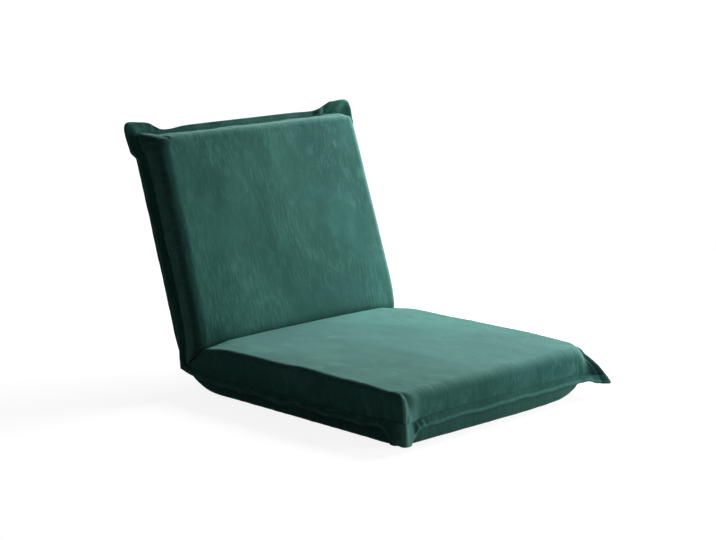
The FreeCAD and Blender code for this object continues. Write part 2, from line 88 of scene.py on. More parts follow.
class FloorChairSizes(bpy.types.PropertyGroup):
    crown: length_field("Crown", 0.006, "Rise of each face in its middle")
    edge_rise: length_field("Edge rise", 0.002, "Rise of each face at its sides")
    seat_radius: length_field("Seat side radius", 0.011, "Rounding of the seat's face into its sides", 0.004)
    seat_run: length_field("Seat side run", 0.003, "From the flat of the seat out to its side seam", 0.001)
    back_radius: length_field("Back side radius", 0.023, "Rounding of the back's face into its sides", 0.004)
    back_run: length_field("Back side run", 0.0072, "From the flat of the back out to its side seam", 0.001)
    end_run: length_field("End run", 0.023, "From the flat of the face out to the free end's seam", 0.01)
    seat_crease: length_field("Seat crease radius", 0.008, "Rounding of the seat's face into the crease", 0.003)
    back_crease: length_field("Back crease radius", 0.027, "Rounding of the back's face into the crease", 0.003)
    crease_depth: length_field("Crease depth", 0.0145, "Depth of the crease where both faces meet", 0.005)
    crease_sink: length_field("Crease sink", 0.008, "How much deeper the crease lies at the chair's sides")
    side_draw: length_field("Side draw", 0.001, "How far the sides pull in between the corners")
    flange_half: length_field("Flange half thickness", 0.0019, "Half of the sewn flange's thickness", 0.0005)
    front_lift: length_field("Front seam lift", 0.011, "Rise of the seat's front seam over the sides'", -0.02)
    undercut: length_field("Undercut", 0.004, "How far the lower shell turns in under the flange")
    under_radius: length_field("Lower radius", 0.007, "Rounding between the lower face and its sides", 0.002)
    stitch: length_field("Stitch length", 0.0042, "Length of one stitch with its gap", 0.002)


class FloorChairFinish(bpy.types.PropertyGroup):
    velvet: colour_field("Velvet", (0.052, 0.196, 0.164), "Colour of the pile seen straight on")
    velvet_dark: colour_field("Velvet, crushed", (0.032, 0.133, 0.113), "Colour of pile brushed the other way")
    # The rubbed colour also serves the edges' rubbed wear and painted highlight.
    velvet_light: colour_field("Velvet, rubbed", (0.109, 0.312, 0.268), "Colour of edges and brushed streaks")
    # The gleaming colour is a painted highlight, used only where the pile bends over a corner.
    velvet_painted_highlight: colour_field("Velvet, gleaming", (0.21, 0.52, 0.455), "Colour of the pile bent over a corner")
    sheen: number_field("Sheen", 0.50, "Strength of the pile's sheen", subtype="FACTOR", min=0.0, max=1.0)
    rib_pitch: length_field("Rib pitch", 0.0026, "Distance between the velvet's ribs", 0.0005)
    paint: colour_field("Frame paint", (0.03, 0.03, 0.032), "Colour of the powder-coated tubes")
    steel: colour_field("Steel", (0.55, 0.56, 0.57), "Colour of the zinc-plated hinges")


class FloorChairStage(bpy.types.PropertyGroup):
    camera_place: bpy.props.FloatVectorProperty(
        name="Camera", description="Place of the camera", subtype="TRANSLATION", size=3,
        default=(-2.6727, -2.5517, 0.9627))
    azimuth: number_field("Azimuth", math.radians(-45.028), "Direction of the camera round the chair",
                          subtype="ANGLE")
    elevation: number_field("Elevation", math.radians(11.16), "Height of the camera over the horizon",
                            subtype="ANGLE")
    lens: number_field("Lens", 103.46, "Focal length on a 36 mm sensor", unit="CAMERA")
    key: number_field("Key lamp", 30.0, "Power of the soft lamp on the right", min=0.0, unit="POWER")
    fill: number_field("World", 0.014, "Strength of the even light from all round", min=0.0)
    floor: colour_field("Floor", (0.32, 0.32, 0.317), "Colour of the floor")


def sizes():
    return bpy.context.scene.floor_chair_sizes


def finish():
    return bpy.context.scene.floor_chair_finish


# Shape of the two halves

def faces_end(turn):
    """Whether the seam faces the free end there."""
    return turn >= QUARTER - 1e-6


def ease(share):
    """Smooth step from 0 to 1: three times the square less twice the cube."""
    share = np.clip(share, 0.0, 1.0)
    return share * share * (3.0 - 2.0 * share)


def soft_waves(a, b, seed, low, high, count=14):
    """Even field of about unit height: the sum of plane waves of random direction, phase and length."""
    pick = np.random.RandomState(seed)
    turn = pick.uniform(0.0, 2 * math.pi, count)
    phase = pick.uniform(0.0, 2 * math.pi, count)
    number = 2 * math.pi / pick.uniform(low, high, count)
    a, b = np.broadcast_arrays(np.asarray(a, float), np.asarray(b, float))
    field = np.zeros(a.shape)
    for k in range(count):
        field += np.cos(number[k] * (a * math.cos(turn[k]) + b * math.sin(turn[k])) + phase[k])
    return field * math.sqrt(2.0 / count) * 0.7


def tent_folds(along, places, widths, heights):
    """Sum of bell curves: each fold is a height at a place along an edge, with its own width."""
    field = np.zeros(np.shape(along))
    for place, width, height in zip(places, widths, heights):
        field = field + height * np.exp(-((along - place) / width) ** 2)
    return field


def arc_through(start, corner):
    """Radius of the arc that leaves a flat line at start and ends at the fold corner."""
    run = start - corner[0]
    rise = abs(corner[1])
    return (run * run + rise * rise) / (2 * rise)


class Half:
    """One half of the chair in its own axes: x across, v away from the crease, w out of the face."""

    def __init__(self, name, body, length, flange_start, under_start, origin, across, along, out, lift):
        self.name = name
        self.body = body
        self.length = length
        self.origin = np.array(origin)
        self.axes = np.array([across, along, out])
        self.flange_start = flange_start
        self.under_start = under_start
        self.lift = lift
        offset = np.array([0.0, FOLD_CORNER[0], FOLD_CORNER[1]]) - self.origin
        self.corner = (float(offset @ self.axes[1]), float(offset @ self.axes[2]))
        self.flange_radius = arc_through(flange_start, self.corner)
        self.flange_sign = math.copysign(1.0, self.corner[1])
        self.under_radius = arc_through(under_start, (self.corner[0], self.corner[1] + LOWER_DEPTH))
        self.side_radius = getattr(sizes(), name + "_radius") * METRE
        self.side_run = getattr(sizes(), name + "_run") * METRE
        self.crease_radius = getattr(sizes(), name + "_crease") * METRE
        self.inner_width = HALF_WIDTH - self.side_run
        self.inner_length = length - sizes().end_run * METRE
        self.flat_width = HALF_WIDTH - sizes().undercut * METRE
        self.flat_length = length - sizes().undercut * METRE
        self.ears = {}

    def place(self, x, v, w):
        """Local mm to row-frame metres."""
        x, v, w = np.broadcast_arrays(x, v, w)
        local = np.stack([x, v, w], axis=-1)
        return (self.origin + local @ self.axes) / METRE

    def flange_line(self, v):
        """Height of the flange seam: flat, then an arc to the fold corner."""
        run = np.clip(self.flange_start - v, 0.0, None)
        return self.flange_sign * (self.flange_radius - np.sqrt(self.flange_radius ** 2 - run ** 2))

    def under_line(self, v):
        """Height of the lower face: flat, then an arc up to the fold corner with a belly of squeezed foam."""
        run = np.clip(self.under_start - v, 0.0, None)
        rest = run / (self.under_start - self.corner[0])
        belly = self.fold_belly * 6.75 * (1 - rest) * rest ** 2
        rise = self.under_radius - np.sqrt(self.under_radius ** 2 - run ** 2)
        return -LOWER_DEPTH + rise - np.minimum(belly, 0.8 * rise)

    def draw(self, v):
        """Factor on x: the sides pull in between the corners by a parabola."""
        pull = sizes().side_draw * METRE * np.clip(1 - (2 * v / self.length - 1) ** 2, 0.0, None)
        return 1 - pull / HALF_WIDTH

    def ear(self, x):
        """The ear settings on x's side, picked for whole arrays: a function of the setting's name."""
        right = np.asarray(x) * self.axes[0][0] > 0

        def setting(key):
            return np.where(right, self.ears["right"][key], self.ears["left"][key])

        return setting

    def crown(self, x, v):
        """Rise of the face: full over the middle, down to the edge rise at the sides, less towards the
        free end."""
        side = 1 - np.abs(x / self.inner_width) ** 2.6
        end = 1 - 0.8 * np.clip(v / self.inner_length, 0.0, 1.0) ** 4
        edge = sizes().edge_rise * METRE
        return (edge + (sizes().crown * METRE - edge) * side) * end

    def face(self, x, row):
        """Face along v. Row 0 to 1 comes up the mitre out of the crease and turns on an arc, row 1 to 2 runs
        to the free end."""
        straight = 0.3
        climb = np.clip(row / straight, 0.0, 1.0)
        bend = np.clip((row - straight) / (1 - straight), 0.0, 1.0)
        run = np.clip(row - 1.0, 0.0, 1.0)
        radius = self.crease_radius
        tangent = radius * math.tan(MITRE / 2)
        rise = self.crown(x, 0.0)
        tip = rise / math.tan(MITRE)
        angle = MITRE * (1 - bend)
        deep = tangent + (sizes().crease_depth * METRE - tangent) * (1 - climb)
        v = tip - deep * math.cos(MITRE) + radius * (math.sin(MITRE) - np.sin(angle))
        v = v + run * (self.inner_length - tip - tangent)
        w = UPPER_DEPTH + rise - deep * math.sin(MITRE) + radius * (np.cos(angle) - math.cos(MITRE))
        w = w + np.where(run > 0, self.crown(x, v) - rise, 0.0)
        sink = sizes().crease_sink * METRE * np.exp(-(v / 32.0) ** 2)
        sink = sink * ease((np.abs(x) - self.inner_width + 50.0) / 50.0)
        return v - sink * math.cos(MITRE), w - sink * math.sin(MITRE)

    def crease_bottom(self):
        """Place of the crease's bottom at the sides."""
        v, w = self.face(np.array([self.inner_width]), np.array([0.0]))
        return float(v[0]), float(w[0])

    def seam_lift(self, x, v_base, turn):
        """Rise of the seam over the flange line, towards and along the free end."""
        side = 0.45 * ease((v_base - (self.inner_length - 70)) / 60)
        middle = 0.55 * ease((self.inner_width - np.abs(x)) / 60) * ease(turn / QUARTER)
        return self.lift * (side + middle)

    def corner_distance(self, x, v_base, turn):
        """Distance from the free corner along the seam, 0 round the corner itself."""
        along_side = np.clip(self.inner_length - v_base, 0.0, None)
        along_end = np.clip(self.inner_width - np.abs(x), 0.0, None)
        return np.where(turn <= 0, along_side, np.where(faces_end(turn), along_end, 0.0))

    def wall(self, x, row, turn, share, detail=True):
        """Point of the upper cover. x and row give the face, turn the direction outwards (0 to the side,
        a quarter turn to the free end), share the way down the shoulder arc and the sloping wall."""
        v_face, w_face = self.face(x, row)
        bottom_v = self.crease_bottom()[0]
        reach = ease((v_face - bottom_v) / 115.0)
        sideways = np.where(faces_end(turn), 0.0, 1.0)
        v_seam = v_face + (self.corner[0] - bottom_v) * (1 - reach) * sideways
        w_seam = self.flange_line(v_seam) + self.seam_lift(x, v_face, turn)
        taper = self.taper * np.clip(v_face / self.length, 0.0, 1.0)
        ear = self.ear(x)
        over_x = np.clip(np.abs(x) - self.inner_width + ear("round"), 0.0, None)
        over_v = np.clip(v_face - self.inner_length + ear("round"), 0.0, None)
        out_x, down_x, wall_share = shoulder_profile(share, self.side_radius, self.side_run + taper)
        out_v, down_v, wall_share = shoulder_profile(share, self.end_radius, sizes().end_run * METRE)
        down = down_x + (down_v - down_x) * ease(turn / QUARTER)
        distance = self.corner_distance(x, v_face, turn)
        flare_x, flare_v = self.flare(x, distance, turn, wall_share)
        out_x = out_x + flare_x
        out_v = out_v + flare_v
        if detail:
            folds = self.wall_detail(x, v_face, turn, distance, wall_share)
            out_x = out_x + folds
            out_v = out_v + folds
        side, end = squircle(turn, CORNER_POWER)
        near_mitre = np.clip(1 - (v_face - bottom_v) / 14.0, 0.0, 1.0) ** 2
        pinch = 3.0 * near_mitre * ease(share * 5) * sideways
        pull = rounding(over_x, over_v) * (1 - wall_share) ** 1.3
        x_face = x * (1 - taper / self.inner_width) - np.sign(x) * over_x * pull
        x_out = x_face + np.sign(x) * (out_x * side - pinch)
        v_out = v_face - over_v * pull + (v_seam - v_face) * down + out_v * end
        far = np.hypot(self.inner_width - np.abs(x), self.inner_length - v_face)
        sag = ear("sag") * ease(1 - far / 75.0) * (1 - down)
        w_out = w_face + (w_seam - w_face) * down - sag
        if detail:
            w_out = w_out + self.face_detail(x, v_face) * (1 - ease(share / 0.35)) * ease((row - 0.8) / 0.6)
        return x_out * self.draw(v_out), v_out, w_out

    def seam(self, x, row, turn):
        """Line where the covers and the flange meet."""
        return self.wall(x, row, turn, np.ones(np.broadcast(x, row, turn).shape), detail=False)

    def flare(self, x, distance, turn, share):
        """How far a wall leans out towards the ear at a free corner, across and along; most at the point."""
        ear = self.ear(x)
        on_end = turn / QUARTER
        near = ease(1 - distance / ear("flare_side")) * (1 - on_end)
        near = near + np.clip(1 - distance / ear("flare_end"), 0.0, 1.0) ** 1.4 * on_end
        near = near * (0.5 + 0.5 * np.sin(2 * turn) ** 2) * np.clip(share, 0.0, 1.0) ** 0.85
        return ear("flare_x") * near, ear("flare_v") * near

    def face_detail(self, x, v):
        """Soft unevenness of the foam and its cover, in mm."""
        field = 0.9 * soft_waves(x, v, self.seed, 110.0, 240.0)
        field = field + 0.22 * soft_waves(x, 0.55 * v, self.seed + 1, 38.0, 80.0)
        edge = np.minimum(self.inner_width - np.abs(x), self.inner_length - v)
        pucker = np.exp(-(np.clip(edge, 0.0, None) / 16.0) ** 2)
        return field + 0.2 * pucker * soft_waves(x, v, self.seed + 2, 18.0, 40.0)

    def wall_detail(self, x, v_face, turn, distance, wall_share):
        """Upright folds in the walls: fuller towards the flange, deeper near the free corners."""
        along = np.where(faces_end(turn), x, v_face + 400.0 * np.sign(x))
        belly = np.sin(math.pi * np.clip(wall_share, 0.0, 1.0))
        lower = wall_share ** 1.5 * (1 - 0.6 * wall_share ** 8)
        lean = along + 5.0 * wall_share
        fine = soft_waves(lean, 0.12 * along, self.seed + 5, 15.0, 40.0)
        broad = soft_waves(lean, 0.2 * along, self.seed + 6, 60.0, 130.0)
        near = 1 + 2.4 * np.exp(-(distance / 50.0) ** 2)
        amount = 0.3 * lower * fine * near + 0.8 * belly * broad
        end_wall = np.where(faces_end(turn), 1.0, 0.0)
        grooves = tent_folds(x + 4.0 * wall_share, *self.end_folds) * end_wall
        return amount + grooves * np.sin(math.pi * np.clip(wall_share * 0.62 + 0.12, 0.0, 1.0))

    def under(self, x, v, turn, share, detail=True):
        """Point of the lower cover: flat face, then a quarter ellipse out and up to the seam."""
        radius = sizes().under_radius * METRE
        split = 0.4
        angle = np.clip(share / split, 0.0, 1.0) * QUARTER
        wall = np.clip((share - split) / (1 - split), 0.0, 1.0)
        distance = np.where(
            turn <= 0, np.clip(self.flat_length - v, 0.0, None),
            np.where(faces_end(turn), np.clip(self.flat_width - np.abs(x), 0.0, None), 0.0))
        flare_x, flare_v = self.flare(x, distance, turn, wall ** 2)
        belly = 2.2 * np.sin(math.pi * wall) * ease((v - self.corner[0]) / 50.0)
        out = radius * np.sin(angle) + (sizes().undercut * METRE - radius) * wall + belly
        lift = self.seam_lift(x, np.minimum(v, self.inner_length), turn)
        side, end = squircle(turn, CORNER_POWER)
        ear = self.ear(x)
        far = np.hypot(self.flat_width - np.abs(x), self.flat_length - v)
        w_face = self.under_line(v) + ear("foot_lift") * ease(1 - far / 90.0)
        w_seam = self.flange_line(v) + lift
        over_x = np.clip(np.abs(x) - self.flat_width + ear("foot_round"), 0.0, None)
        over_v = np.clip(v - self.flat_length + ear("foot_round"), 0.0, None)
        pull = rounding(over_x, over_v) * (1 - 0.8 * wall)
        along = np.clip(v / self.length, 0.0, 1.0)
        splay = 1 + (self.foot[0] + (self.foot[1] - self.foot[0]) * along) * (1 - wall)
        tuck = ear("foot_tuck") * np.clip((np.abs(x) - 30.0) / 220.0, 0.0, 1.0) ** 2 * (1 - wall) ** 1.5
        x_out = (x - np.sign(x) * over_x * pull) * splay + np.sign(x) * (out + flare_x) * side
        v_out = v - over_v * pull + (out + flare_v) * end - tuck * ease((v - 120.0) / 300.0)
        rise = radius * (1 - np.cos(angle)) / LOWER_DEPTH
        w_out = w_face + (w_seam - w_face) * (rise + (1 - radius / LOWER_DEPTH) * wall)
        if detail:
            w_out = w_out - self.under_detail(x, v, share)
        return x_out * self.draw(v_out), v_out, w_out

    def under_detail(self, x, v, share):
        """Slack of the lower cover. The seat's is held flat by the floor."""
        edge = np.clip(np.minimum(self.flat_width - np.abs(x), self.flat_length - v) / 60.0, 0.0, 1.0)
        fold = ease((v - self.corner[0]) / 60.0)
        cheek = np.sin(math.pi * share)
        along = soft_waves(x, v, self.seed + 8, 22.0, 60.0)
        field = 0.7 * cheek * along * fold
        if self.rear_crown > 0:
            clear = ease((np.abs(v - ZIP_AT) - 22.0) / 50.0)
            slack = self.rear_crown + 0.9 * soft_waves(x, v, self.seed + 9, 90, 220)
            field = field + clear * ease(edge) * slack
        return field


def shoulder_profile(share, radius, run):
    """Way out, way down as a share of the wall's height, and share of the wall, for a share of the
    profile: an arc of the shoulder's radius, then a slightly bellied slope that turns out at the seam."""
    last = math.radians(76.0)
    split = 0.34
    angle = last * np.clip(share / split, 0.0, 1.0)
    wall = np.clip((share - split) / (1 - split), 0.0, 1.0)
    arc_out = radius * math.sin(last)
    arc_down = radius * (1 - math.cos(last)) / UPPER_DEPTH
    out = radius * np.sin(angle) + (run - arc_out) * wall + 1.6 * np.sin(math.pi * wall) * (1 - wall ** 3)
    down = radius * (1 - np.cos(angle)) / UPPER_DEPTH + (1 - arc_down) * wall
    return out, down, wall


def rounding(over_x, over_v):
    """Share by which a point past both starts of a corner's rounding is pulled back on to its arc."""
    far = np.hypot(over_x, over_v)
    return 1 - np.maximum(over_x, over_v) / np.where(far > 0, far, 1.0) * (far > 0) - (far <= 0)


def squircle(turn, power):
    """Direction outwards round a free corner, scaled to a rounded square of the given power."""
    c, s = np.cos(turn), np.sin(turn)
    c = np.where(np.abs(c) < 1e-9, 0.0, c)
    norm = (np.abs(c) ** power + np.abs(s) ** power) ** (1 / power)
    return c / norm, s / norm


def make_halves():
    """The seat and the backrest, with the settings of their four ears."""
    sin, cos = math.sin(LEAN), math.cos(LEAN)
    crease = np.array([0.0, CREASE_Y, UPPER_DEPTH + LOWER_DEPTH])
    seat = Half("seat", "seat", 504.0, 36.0, 40.0, (0.0, CREASE_Y, LOWER_DEPTH),
                (-1.0, 0.0, 0.0), (0.0, -1.0, 0.0), (0.0, 0.0, 1.0), sizes().front_lift * METRE)
    out = np.array([0.0, -cos, sin])
    back = Half("back", "backrest", 409.0, 75.0, 40.0, crease - UPPER_DEPTH * out,
                (1.0, 0.0, 0.0), (0.0, sin, cos), out, 0.0)
    seat.seed, back.seed = 11, 47
    seat.rear_crown, back.rear_crown = 0.0, 3.0
    seat.end_folds = (
        (-232.0, -214.0, -196.0, -150.0, -88.0, -20.0, 64.0, 121.0, 158.0, 196.0, 216.0, 233.0),
        (5.0, 6.0, 7.0, 8.0, 9.0, 11.0, 9.0, 8.0, 7.0, 6.0, 5.0, 4.0),
        (-1.6, 1.0, -0.8, 0.6, -0.8, 0.7, -0.7, 0.8, -1.0, 1.2, -1.6, 1.2))
    back.end_folds = (
        (-228.0, -206.0, -140.0, -50.0, 60.0, 150.0, 208.0, 230.0),
        (6.0, 7.0, 10.0, 12.0, 11.0, 9.0, 6.0, 5.0),
        (-1.6, 1.2, -0.8, 0.8, -0.9, 0.9, -1.2, 1.4))
    # Ears, mm: how far the wall flares out and the flange reaches across (x) and along (v), how far the
    # flange droops beside and at the end, over which spans, how the face and the foot differ, and how much
    # painted highlight and painted shade each corner takes
    plain = dict(linear=0.0, neck=0.0, dip=0.0, tuck=0.0, foot_tuck=0.0, foot_lift=0.0, corner_painted_highlight=0.0,
                 corner_painted_shade=0.0)
    seat.ears = {
        "left": dict(plain, flare_x=6.0, flare_v=6.0, flare_side=30.0, flare_end=26.0, reach_x=10.0,
                     reach_v=9.0, side_drop=35.0, end_drop=35.0, fall_span=22.0, square=4.0, side_span=22.0,
                     end_span=20.0, pleat=1.3, round=22.0, sag=2.0, foot_round=30.0, corner_painted_highlight=2.1),
        "right": dict(plain, flare_x=20.0, flare_v=31.0, flare_side=70.0, flare_end=44.0, reach_x=-2.0,
                      reach_v=8.0, side_drop=13.0, end_drop=13.0, fall_span=44.0, square=5.0, side_span=110.0,
                      end_span=30.0, tuck=5.0, pleat=0.3, round=40.0, sag=3.0, foot_round=42.0,
                      foot_tuck=26.0, corner_painted_shade=1.8, foot_lift=14.0)}
    back.ears = {
        "left": dict(plain, flare_x=14.0, flare_v=9.0, flare_side=24.0, flare_end=24.0, reach_x=17.0,
                     reach_v=24.0, side_drop=14.0, end_drop=4.0, fall_span=38.0, square=8.0, side_span=24.0,
                     end_span=38.0, neck=5.0, dip=4.0, pleat=0.6, round=10.0, sag=0.0, foot_round=22.0),
        "right": dict(plain, flare_x=4.0, flare_v=4.0, flare_side=38.0, flare_end=38.0, reach_x=38.0,
                      reach_v=23.0, side_drop=-15.0, end_drop=-15.0, fall_span=38.0, square=6.0,
                      side_span=50.0, end_span=36.0, linear=1.0, dip=1.2, pleat=3.2, round=5.0, sag=1.0,
                      foot_round=22.0)}
    seat.edge = {"side_reach": 13.0, "side_drop": 9.0, "end_reach": 11.0, "end_drop": 12.0}
    back.edge = {"side_reach": 13.5, "side_drop": 10.0, "end_reach": 13.5, "end_drop": 0.0}
    seat.end_radius, back.end_radius = 27.0, 13.0
    seat.taper, back.taper = 0.0, 9.0
    seat.foot, back.foot = (-0.012, 0.048), (0.0, 0.0)
    seat.fold_belly, back.fold_belly = 4.2, 0.0
    seat.crease_shade, back.crease_shade = 0.0, 0.5
    return seat, back


# Mesh helpers

def grid_faces(rows, columns, flip=False, close=False):
    """Quads of a grid of vertices, rows by columns; close joins the last column to the first."""
    index = np.arange(rows * columns).reshape(rows, columns)
    if close:
        index = np.concatenate([index, index[:, :1]], axis=1)
    quads = np.stack([index[:-1, :-1], index[:-1, 1:], index[1:, 1:], index[1:, :-1]], axis=-1)
    if flip:
        quads = quads[..., ::-1]
    return quads.reshape(-1, 4)


def make_piece(name, points, faces, uv=None, attributes=None, material=None, caps=()):
    """Mesh object from whole arrays: points in metres, faces as quads, uv per face corner. Caps are the end
    faces of a closed strip, which take a plain corner of the cloth."""
    mesh = bpy.data.meshes.new(name)
    points = np.asarray(points, float).reshape(-1, 3)
    mesh.from_pydata(points.tolist(), [], np.asarray(faces).tolist() + list(caps))
    if uv is not None:
        layer = mesh.uv_layers.new(name="cloth")
        plain = np.zeros(2 * sum(len(cap) for cap in caps))
        layer.data.foreach_set("uv", np.concatenate([np.reshape(uv, -1), plain]).astype(np.float32))
    for key, values in (attributes or {}).items():
        item = mesh.attributes.new(key, "FLOAT", "POINT")
        item.data.foreach_set("value", np.asarray(values, np.float32).reshape(-1))
    mesh.polygons.foreach_set("use_smooth", np.ones(len(mesh.polygons), bool))
    mesh.validate()
    mesh.update()
    piece = bpy.data.objects.new(name, mesh)
    bpy.context.scene.collection.objects.link(piece)
    if material is not None:
        mesh.materials.append(material)
    return piece


def thicken(piece, thickness):
    """Gives a cover its cloth thickness, inwards."""
    modifier = piece.modifiers.new("Cloth", "SOLIDIFY")
    modifier.thickness = thickness
    modifier.offset = -1.0
    modifier.use_rim = True
    return piece


def corner_turn(side_share, end_share):
    """Turn of the outward direction in a corner cell, from the shares down both of its walls."""
    big = np.maximum(side_share, end_share)
    small = np.minimum(side_share, end_share)
    part = np.where(big > 0, small / np.where(big > 0, big, 1.0), 0.0) * math.pi / 4
    turn = np.where(side_share >= end_share, part, QUARTER - part)
    return np.where(end_share <= 0, 0.0, turn)


def spread(low, high, count):
    return np.linspace(low, high, count)


def wall_shares():
    """Shares down a wall: closer together where the face seam lies."""
    return np.concatenate([spread(0.03, 0.15, 5), spread(0.172, 0.228, 6), spread(0.26, 0.94, 19),
                           [0.975, 1.0]])


def cloth_uv(faces, ways, choice):
    """UV per face corner: each face takes one of several ways of laying the cloth."""
    table = np.stack([np.stack([w[0].reshape(-1), w[1].reshape(-1)], axis=-1) for w in ways])
    return table[choice[:, None], faces]


def ride_both(piece):
    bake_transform(piece)


# Covers

def cover_grid(across, along, shares):
    """Grid of a cover: its face, across by along, with rings down the walls on three sides. Gives x and row,
    the shares down the side and the end walls, and the greater of both shares for each cell."""
    side = np.full(shares.size, across[-1])
    columns = np.concatenate([shares[::-1], np.zeros(across.size), shares])
    rows = np.concatenate([np.zeros(along.size), shares])
    x, row = np.meshgrid(np.concatenate([-side, across, side]),
                         np.concatenate([along, np.full(shares.size, along[-1])]))
    side_share, end_share = np.meshgrid(columns, rows)
    side_cell, end_cell = np.meshgrid(np.maximum(columns[:-1], columns[1:]), np.maximum(rows[:-1], rows[1:]))
    return x, row, side_share, end_share, side_cell.reshape(-1), end_cell.reshape(-1)


def upper_cover(half, name, material):
    """Boxed cover of a half: the face grid runs down its three walls. A cell is at the greater of its two
    shares down the walls, so that the rings run round the corner, and the surface is Half.wall."""
    wall_height, corner_cloth = 68.0, 20.0
    across = spread(-half.inner_width, half.inner_width, 132)
    along = np.concatenate([spread(0.0, 1.0, 12)[:-1], 1 + spread(0.0, 1.0, 130)])
    x, row, side_share, end_share, side_cell, end_cell = cover_grid(across, along, wall_shares())
    share = np.maximum(side_share, end_share)
    turn = corner_turn(side_share, end_share)
    px, pv, pw = half.wall(x, row, turn, share)
    faces = grid_faces(*x.shape)
    depth = share * wall_height
    v_face = half.face(x, row)[0]
    flat = (px, v_face + end_share * wall_height)
    boxing = (v_face + turn * corner_cloth, depth)
    end = (px, v_face + depth)
    choice = np.where(side_cell >= np.maximum(end_cell, 0.2), 1, np.where(end_cell > 0, 2, 0))
    uv = cloth_uv(faces, [flat, boxing, end], choice) / METRE
    # Lighter along the shoulder: rubbed wear and painted highlight.
    edge = 0.25 * np.exp(-((share - 0.17) / 0.13) ** 2) * (share > 0)
    # Darker: a faint line at the face seam, and painted shade along the flange seam, in the crease and just
    # above it on the back.
    seam = 0.12 * np.exp(-((share - 0.2) / 0.02) ** 2) + 0.8 * np.exp(-((share - 1.0) / 0.03) ** 2)
    seam = seam + np.exp(-(row / 0.45) ** 2) + half.crease_shade * np.exp(-(v_face / 45.0) ** 2)
    ear = half.ear(x)
    along_end = np.where(end_share >= side_share, np.clip(half.inner_width - np.abs(x), 0.0, None), 400.0)
    down = ease(share / 0.3)
    # Painted highlight on the free end's wall near a corner, where the pile bends over it.
    edge = edge + ear("corner_painted_highlight") * down * np.exp(-(along_end / 30.0) ** 2) * (end_share > 0)
    # Painted shade on the free end's wall close to a corner.
    seam = seam + ear("corner_painted_shade") * down * np.exp(-((along_end - 4.0) / 15.0) ** 2) * (end_share > 0)
    piece = make_piece(name, half.place(px, pv, pw), faces, uv, {"rubbed_and_highlight": edge, "seam": seam}, material)
    return thicken(piece, CLOTH)


def under_cover(half, name, material, zip_gap=False):
    """Lower cover of a half: flat face and its turned-up sides, on the surface Half.under. A gap is left for
    the zip, with its edges folded in."""
    wall_height, corner_cloth = 40.0, 24.0
    wide = half.flat_width
    end = half.flat_length
    fold = half.corner[0]
    if zip_gap:
        lip = np.array([0.0, 0.5, 1.1, 2.0, 3.4])
        gap_low, gap_high = ZIP_AT - TAPE_HALF, ZIP_AT + TAPE_HALF
        across = np.concatenate([[-wide, -ZIP_HALF], spread(-ZIP_HALF + 4, ZIP_HALF - 4, 74),
                                 [ZIP_HALF, wide]])
        along = np.concatenate([spread(fold, gap_low - 4, 20)[:-1], (gap_low - lip)[::-1],
                                [gap_low + 0.01, gap_high - 0.01], gap_high + lip,
                                spread(gap_high + 8, end, 70)])
    else:
        across = spread(-wide, wide, 78)
        along = np.concatenate([spread(fold, 40.0, 30)[:-1], spread(40.0, end, 80)])
    x, v, side_share, end_share, side_cell, end_cell = cover_grid(across, along, spread(0.0, 1.0, 19)[1:])
    share = np.maximum(side_share, end_share)
    turn = corner_turn(side_share, end_share)
    px, pv, pw = half.under(x, v, turn, share)
    px = np.where(share <= 0, x, px)
    faces = grid_faces(*x.shape, flip=True)
    # Painted shade along the flange seam.
    seam = 0.8 * np.exp(-((share - 1.0) / 0.04) ** 2)
    keep = np.ones(len(faces), bool)
    if zip_gap:
        outside = np.maximum(np.abs(x) - ZIP_HALF, np.abs(v - ZIP_AT) - TAPE_HALF)
        face = share <= 0
        pw = pw + np.where(face, 1.5 * np.exp(-np.clip(outside, 0.0, None) / 0.45) * (outside < 3), 0.0)
        pw = pw - np.where(face, 0.5 * np.exp(-((outside - 2.2) / 1.6) ** 2), 0.0)
        # Painted shade round the zip gap's folded edges.
        seam = seam + np.where(face, np.exp(-(outside / 1.2) ** 2), 0.0)
        centre_x = x.reshape(-1)[faces].mean(axis=1)
        centre_v = v.reshape(-1)[faces].mean(axis=1)
        flat_cell = share.reshape(-1)[faces].max(axis=1) <= 0
        keep = ~(flat_cell & (np.abs(centre_x) < ZIP_HALF) & (np.abs(centre_v - ZIP_AT) < TAPE_HALF))
    flat = (px, v + end_share * wall_height)
    boxing = (v + turn * corner_cloth, share * wall_height)
    uv = cloth_uv(faces, [flat, boxing], np.where(side_cell > end_cell, 1, 0))[keep] / METRE
    # Lighter band half way up the lower sides: rubbed wear and painted highlight.
    edge = 0.4 * np.exp(-((share - 0.5) / 0.3) ** 2)
    points = half.place(px, pv, pw)
    piece = make_piece(name, points, faces[keep], uv, {"rubbed_and_highlight": edge, "seam": seam}, material)
    return thicken(piece, CLOTH)


# Flange

def seam_stations(half):
    """Stations round a half's seam: x, row and turn from the fold on one side, round the free end, to the
    fold on the other."""
    rows = np.concatenate([spread(0.0, 1.0, 16)[:-1], 1 + spread(0.0, 1.0, 190)])
    turns = spread(0.0, QUARTER, 26)[1:]
    ends = spread(-half.inner_width, half.inner_width, 190)[1:-1]
    x = np.concatenate([np.full(rows.size + turns.size, -half.inner_width), ends,
                        np.full(rows.size + turns.size, half.inner_width)])
    row = np.concatenate([rows, np.full(turns.size * 2 + ends.size, 2.0), rows[::-1]])
    turn = np.concatenate([np.zeros(rows.size), turns, np.full(ends.size, QUARTER), turns[::-1],
                           np.zeros(rows.size)])
    return x, row, turn


def flange_thickness_axis(half, v_seam, from_fold):
    """Unit normal of the flange line in v and w, turned to the shared mitre at the fold corner."""
    run = np.clip(half.flange_start - v_seam, 0.0, None)
    slope = half.flange_sign * run / np.sqrt(half.flange_radius ** 2 - run ** 2)
    normal_v = slope / np.sqrt(1 + slope ** 2)
    normal_w = 1 / np.sqrt(1 + slope ** 2)
    mitre = np.array([0.0, -0.79, 0.615]) * 1.32
    mitre_v, mitre_w = float(mitre @ half.axes[1]), float(mitre @ half.axes[2])
    near = 1 - ease(from_fold / 7.0)
    return normal_v + (mitre_v - normal_v) * near, normal_w + (mitre_w - normal_w) * near


